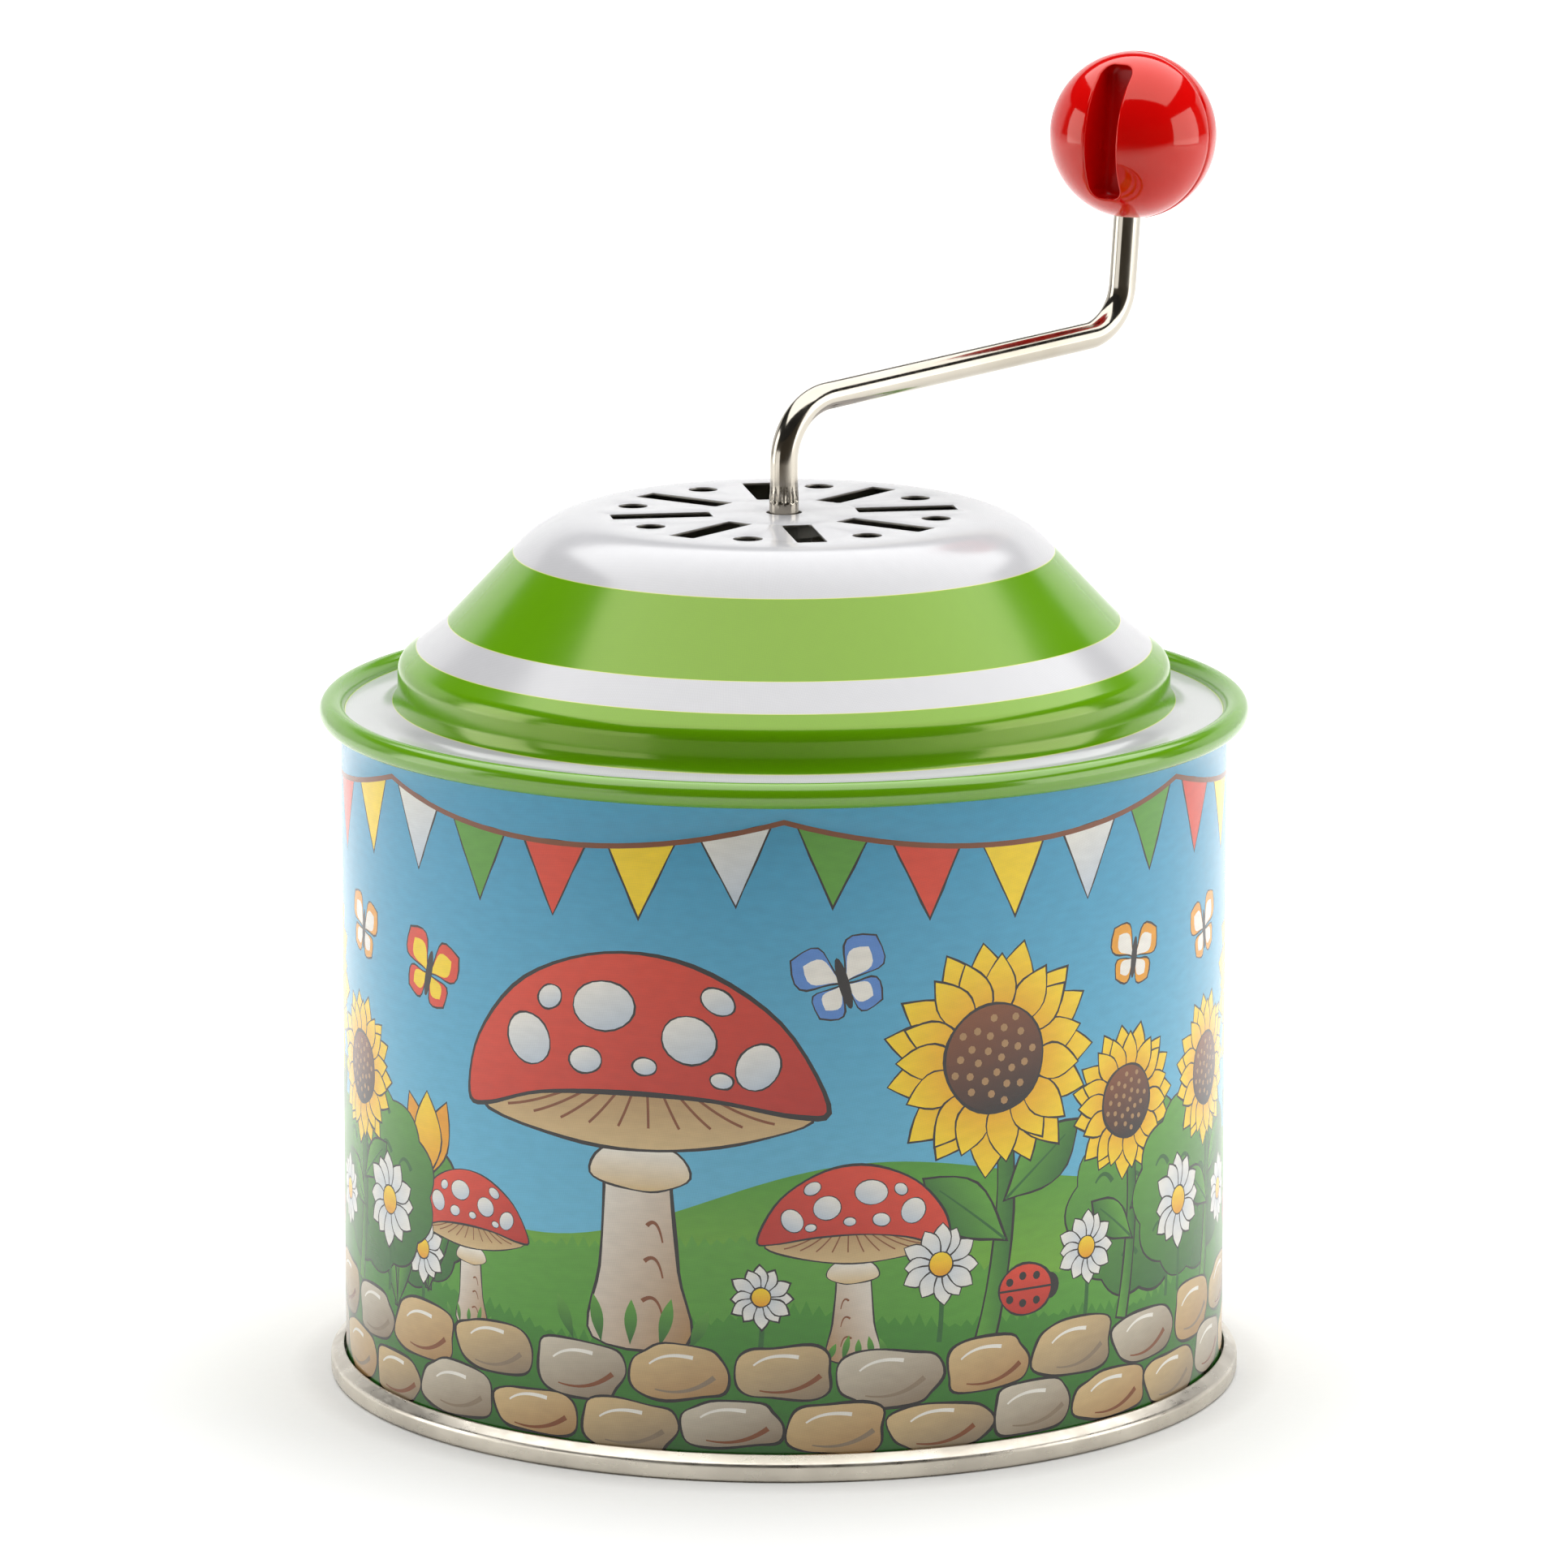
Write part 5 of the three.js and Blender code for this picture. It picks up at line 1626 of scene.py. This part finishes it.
    def hole_inside(self, skin: Skin, brink: np.ndarray, side: int) -> None:
        """Add half of the wire's hole: a quarter round from the brink, a straight wall and an end.

        Args:
            skin: The knob's surface.
            brink: The hole's edge on the ball, from its -X side to its +X side.
            side: Which half.
        """
        angle = np.arctan2(brink[:, 1], brink[:, 0])
        angle[[0, -1]] = math.pi * side, 0
        way = np.stack([np.cos(angle), np.sin(angle), 0 * angle], -1)
        top = -math.sqrt(self.radius**2 - (self.bore + self.bore_round) ** 2)
        rows = [brink]
        for across, down in quarter_round(4)[1:]:
            rows.append(way * (self.bore + self.bore_round * across) + [0, 0, top + self.bore_round * down])
        rows += [way * radius + [0, 0, top + self.bore_depth] for radius in (self.bore, 0)]
        skin.grid(flipped(np.stack(rows), side > 0), closed=False)

    def build(self) -> bpy.types.Object:
        """Make both halves, shade the ball as a true sphere, and put it in its place.

        Returns:
            The knob.
        """
        skin = Skin()
        for side in (-1, 1):
            self.half(skin, side)
        mesh = skin.mesh("ball_knob", 3e-3, sharp=55)
        self.shade_round(mesh)
        place = Matrix.Translation([value * MM for value in self.centre])
        around, lean, turn = (Matrix.Rotation(math.radians(angle), 4, axis) for angle, axis in (
            (self.crank_turn, "Z"), (self.lean, "Y"), (self.turn, "Z")))
        mesh.transform(place @ around @ lean @ turn)
        return new_object(mesh, [KNOB_RED.material("knob_red"), KNOB_POCKET_SHADED.material("knob_pocket_shaded")])

    def shade_round(self, mesh: bpy.types.Mesh) -> None:
        """Give each point on the ball's outside the normal of the true surface.

        Args:
            mesh: The knob's mesh, still at the origin.
        """
        places = vertex_places(mesh)
        normals = np.zeros_like(places)
        for side in (-1, 1):
            here = side * places[:, 1] > 1e-3
            there, bent = self.surface(self.to_disc(places[here], side), side)
            normals[here] = bent * (np.abs(there - places[here]).max(1) < 2e-3)[:, None]
        mesh.normals_split_custom_set_from_vertices(normals.tolist())


@dataclass
class BaseScrew:
    """A slotted screw under the bottom, seen from below: a domed head with a slot, and its shank."""

    at: Pair
    head_top: float = 3.2
    head_height: float = 1.5
    head_radius: float = 2.3
    shank_radius: float = 1.2
    shank: float = 5.5
    slot_width: float = 0.6
    slot_depth: float = 0.6

    def build(self, name: str, material: bpy.types.Material) -> bpy.types.Object:
        """Turn the head's rim and shank, and close the head with a plate that has the slot cut in it.

        Args:
            name: The piece's name.
            material: Its finish.

        Returns:
            The screw.
        """
        low = self.head_top - self.head_height
        flat, half = self.head_radius - 0.5, self.slot_width / 2
        profile = rounded([(flat, low, 0), (self.head_radius, low, 0.45), (self.head_radius, self.head_top, 0.1),
                           (self.shank_radius, self.head_top, 0), (self.shank_radius, self.head_top + self.shank, 0),
                           (0, self.head_top + self.shank, 0)], 12)
        skin = Skin()
        skin.grid(turned(profile, 40))
        rim = turned(profile[:1], 40)[0, :, :2]
        reach = math.sqrt(flat**2 - half**2) - 0.02
        slot = rounded([(-reach, 0, 0), (-reach, -half, 0.05), (reach, -half, 0.05), (reach, half, 0.05),
                        (-reach, half, 0.05), (-reach, 0, 0)], 30)[:-1]
        places, triangles = cut_plate(rim, [slot])
        skin.add(lifted(places, low), triangles[:, ::-1])
        skin.grid(np.stack([lifted(slot, low + self.slot_depth), lifted(slot, low)]))
        places, triangles = cut_plate(slot, [])
        skin.add(lifted(places, low + self.slot_depth), triangles[:, ::-1])
        mesh = skin.mesh(name, sharp=30)
        mesh.transform(Matrix.Translation((self.at[0] * MM, self.at[1] * MM, 0)))
        return new_object(mesh, [material])


@dataclass
class Movement:
    """The movement inside, whose CAD pieces keep their shapes and get their finishes."""

    finishes: tuple[tuple[Metal | Moulding, tuple[str, ...]], ...] = (
        (ACETAL, ("drive_sleeve", "worm", "worm_wheel")),
        (STEEL, ("worm_shaft", "spindle_clip", "music_comb", "barrel_arbor", "bracket_screw_left",
                 "bracket_screw_right", "bridge_screw", "comb_screw_1", "comb_screw_2")),
        (BRASS, ("pinned_barrel", "barrel_cap", "arbor_bracket_left", "arbor_bracket_right", "spindle_bridge")),
        (ZINC_CAST, ("bedplate",)),
    )

    def dress(self) -> None:
        """Give each CAD piece its finish."""
        for k, (finish, nodes) in enumerate(self.finishes):
            material = finish.material(f"movement_{k + 1}")
            for node in nodes:
                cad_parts[node].material_slots[0].material = material
                LOG.info("%s is dressed as %s", node, material.name)


# ---------------------------------------------------------------- the studio

@dataclass(frozen=True)
class Lamp:
    """A soft rectangular light: its middle, its tilt from facing down and its turn about Z, and its size."""

    name: str
    at: Triple
    turn: Pair
    size: Pair
    radiance: float

    def hang(self) -> None:
        """Hang it; its power is how bright its face looks, where 1 is white, times pi times its area."""
        data = bpy.data.lights.new(self.name, "AREA")
        data.shape = "RECTANGLE"
        data.size, data.size_y = self.size
        data.energy = self.radiance * math.pi * self.size[0] * self.size[1]
        lamp = bpy.data.objects.new(self.name, data)
        lamp.location = self.at
        lamp.rotation_euler = (math.radians(self.turn[0]), 0.0, math.radians(self.turn[1]))
        bpy.context.scene.collection.objects.link(lamp)


@dataclass
class Studio:
    """A pale table with a cove behind it, an overhead light, two standing windows and a low card.

    Its lengths are in metres and its angles in degrees.
    """

    lamps: tuple[Lamp, ...] = (
        Lamp("overhead", (0.09, 0.37, 0.95), (0.0, 0.0), (1.62, 1.7), 2.45),
        Lamp("left_window", (-0.78, 0.06, 0.255), (90.0, -84.0), (0.40, 0.49), 2.7),
        Lamp("right_window", (0.78, -0.12, 0.26), (90.0, 80.0), (0.62, 0.48), 2.7),
        Lamp("low_card", (-0.497, -0.335, 0.1), (90.0, -56.0), (0.39, 0.19), 1.5),
    )
    room: Colour = (1.0, 0.98, 0.95)
    room_light: float = 0.03
    lens: float = 225.354
    sensor: float = 36.0
    eye: Triple = (0.0, -1.08694, 0.28987)
    pitch: float = 11.5663
    reach: float = 1.7
    cove: float = 0.4
    wall: float = 0.95
    front: Pair = (-0.66, -0.25)
    slant: float = 0.35
    white: Colour = (0.82, 0.82, 0.81)
    dim_table: Colour = (0.34, 0.31, 0.27)
    dim_wall: Colour = (0.32, 0.28, 0.22)
    # the paper's own light grows from the first value to the second over glow_reach, and fades out over the next pair
    # of radii round the tin's foot: painted shade round the tin
    glow: Pair = (0.16, 0.64)
    glow_reach: Pair = (0.055, 0.22)
    foot_shade_ring: Pair = (0.0515, 0.0565)

    def build(self) -> None:
        """Set the table, the lights, the world and the camera."""
        self.table()
        for lamp in self.lamps:
            lamp.hang()
        world = bpy.data.worlds.new("dim_room")
        world.use_nodes = True
        world.node_tree.nodes["Background"].inputs[0].default_value = (*self.room, 1.0)
        world.node_tree.nodes["Background"].inputs[1].default_value = self.room_light
        bpy.context.scene.world = world
        bpy.context.scene.view_settings.view_transform = "Standard"
        self.camera()

    def camera(self) -> None:
        """Set up the camera where the photograph was taken from, tilted down by its pitch."""
        data = bpy.data.cameras.new("camera")
        data.lens, data.sensor_width = self.lens, self.sensor
        data.clip_start, data.clip_end = 0.05, 20.0
        camera = bpy.data.objects.new("camera", data)
        camera.location = self.eye
        camera.rotation_euler = (math.radians(90 - self.pitch), 0.0, 0.0)
        bpy.context.scene.collection.objects.link(camera)
        bpy.context.scene.camera = camera

    def table(self) -> None:
        """Turn the table and its wall from one profile: a disc, a quarter-circle cove and an upright."""
        reach, cove = self.reach / MM, self.cove / MM
        profile = rounded([(0, 0, 0), (reach + cove, 0, cove), (reach + cove, self.wall / MM, 0)], 6)
        steps = np.linspace(0, 1, 12)[:-1, None] * profile[1]
        skin = Skin()
        skin.grid(turned(np.concatenate([steps, profile[1:]])[::-1], 96))
        new_object(skin.mesh("table_and_wall"), [self.paper()])

    def paper(self) -> bpy.types.Material:
        """Make the table's white paper, which shows a little light of its own and keeps the shadow; that light is
        weaker near the tin and gone at its foot, a painted shade round the tin.

        Its tone follows the place alone: white near the tin and behind it, grey in the room's front.

        Returns:
            The material.
        """
        recipe = Recipe("table_paper")
        split = recipe.node("SeparateXYZ", {0: recipe.place()})
        slanted = recipe.math("ADD", split.outputs[1], recipe.math("MULTIPLY", split.outputs[0], self.slant))
        behind = recipe.ramp(slanted, *self.front, 0.0, 1.0)
        walled = recipe.ramp(split.outputs[2], 0.02, 0.06, 0.0, 1.0)
        back = recipe.ramp(split.outputs[1], 0.9, 1.1, 0.0, 1.0)
        pale = recipe.math("MULTIPLY", behind, recipe.math("MAXIMUM", recipe.math("SUBTRACT", 1.0, walled), back))
        fibre = recipe.grey(recipe.uneven(900.0, 3.0, 0.985, 1.0))
        dim = recipe.blend(walled, self.dim_table, self.dim_wall)
        paper = recipe.blend(pale, dim, recipe.blend(1.0, fibre, self.white, "MULTIPLY"))
        recipe.done(paper, 0.9, Specular_IOR_Level=0.2)
        rays = recipe.node("LightPath").outputs
        seen = recipe.math("MAXIMUM", recipe.math("MAXIMUM", rays["Is Camera Ray"], rays["Is Glossy Ray"]),
                           rays["Is Transmission Ray"])
        radius = recipe.node("VectorMath", {0: recipe.place()}, operation="LENGTH").outputs["Value"]
        # the paper's own light, weaker near the tin and gone at its foot: painted shade round the tin
        glow_shaded_near_tin = recipe.math("MULTIPLY", recipe.ramp(radius, *self.glow_reach, *self.glow),
                          recipe.ramp(radius, *self.foot_shade_ring, 0.0, 1.0))
        strength = recipe.math("MULTIPLY", recipe.math("MULTIPLY", seen, glow_shaded_near_tin), pale)
        recipe.put(recipe.shader.inputs["Emission Color"], (1.0, 1.0, 1.0))
        recipe.put(recipe.shader.inputs["Emission Strength"], strength)
        return recipe.material


def main() -> None:
    """Build the studio and every piece of the tin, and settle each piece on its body."""
    logging.basicConfig(level=logging.INFO, format="%(name)s: %(message)s")
    Studio().build()
    for maker, body, node in ((PrintedCan, "tin", "body_can"), (DomeLid, "tin", "dome_lid"),
                              (SeamedBottom, "tin", "bottom_plate"), (CrankWire, "crank", "crank_wire"),
                              (BallKnob, "knob", "crank_knob")):
        settle(maker().build(), body, node, node)
    plated = STEEL.material("zinc_plated_steel")
    for k in (1, 2, 3):
        low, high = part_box(f"base_screw_{k}")
        at = ((low.x + high.x) / 2 / MM, (low.y + high.y) / 2 / MM)
        settle(BaseScrew(at).build(f"base_fixing_{k}", plated), "tin", "screws", f"base_screw_{k}")
    Movement().dress()


if __name__ == "__main__":
    main()
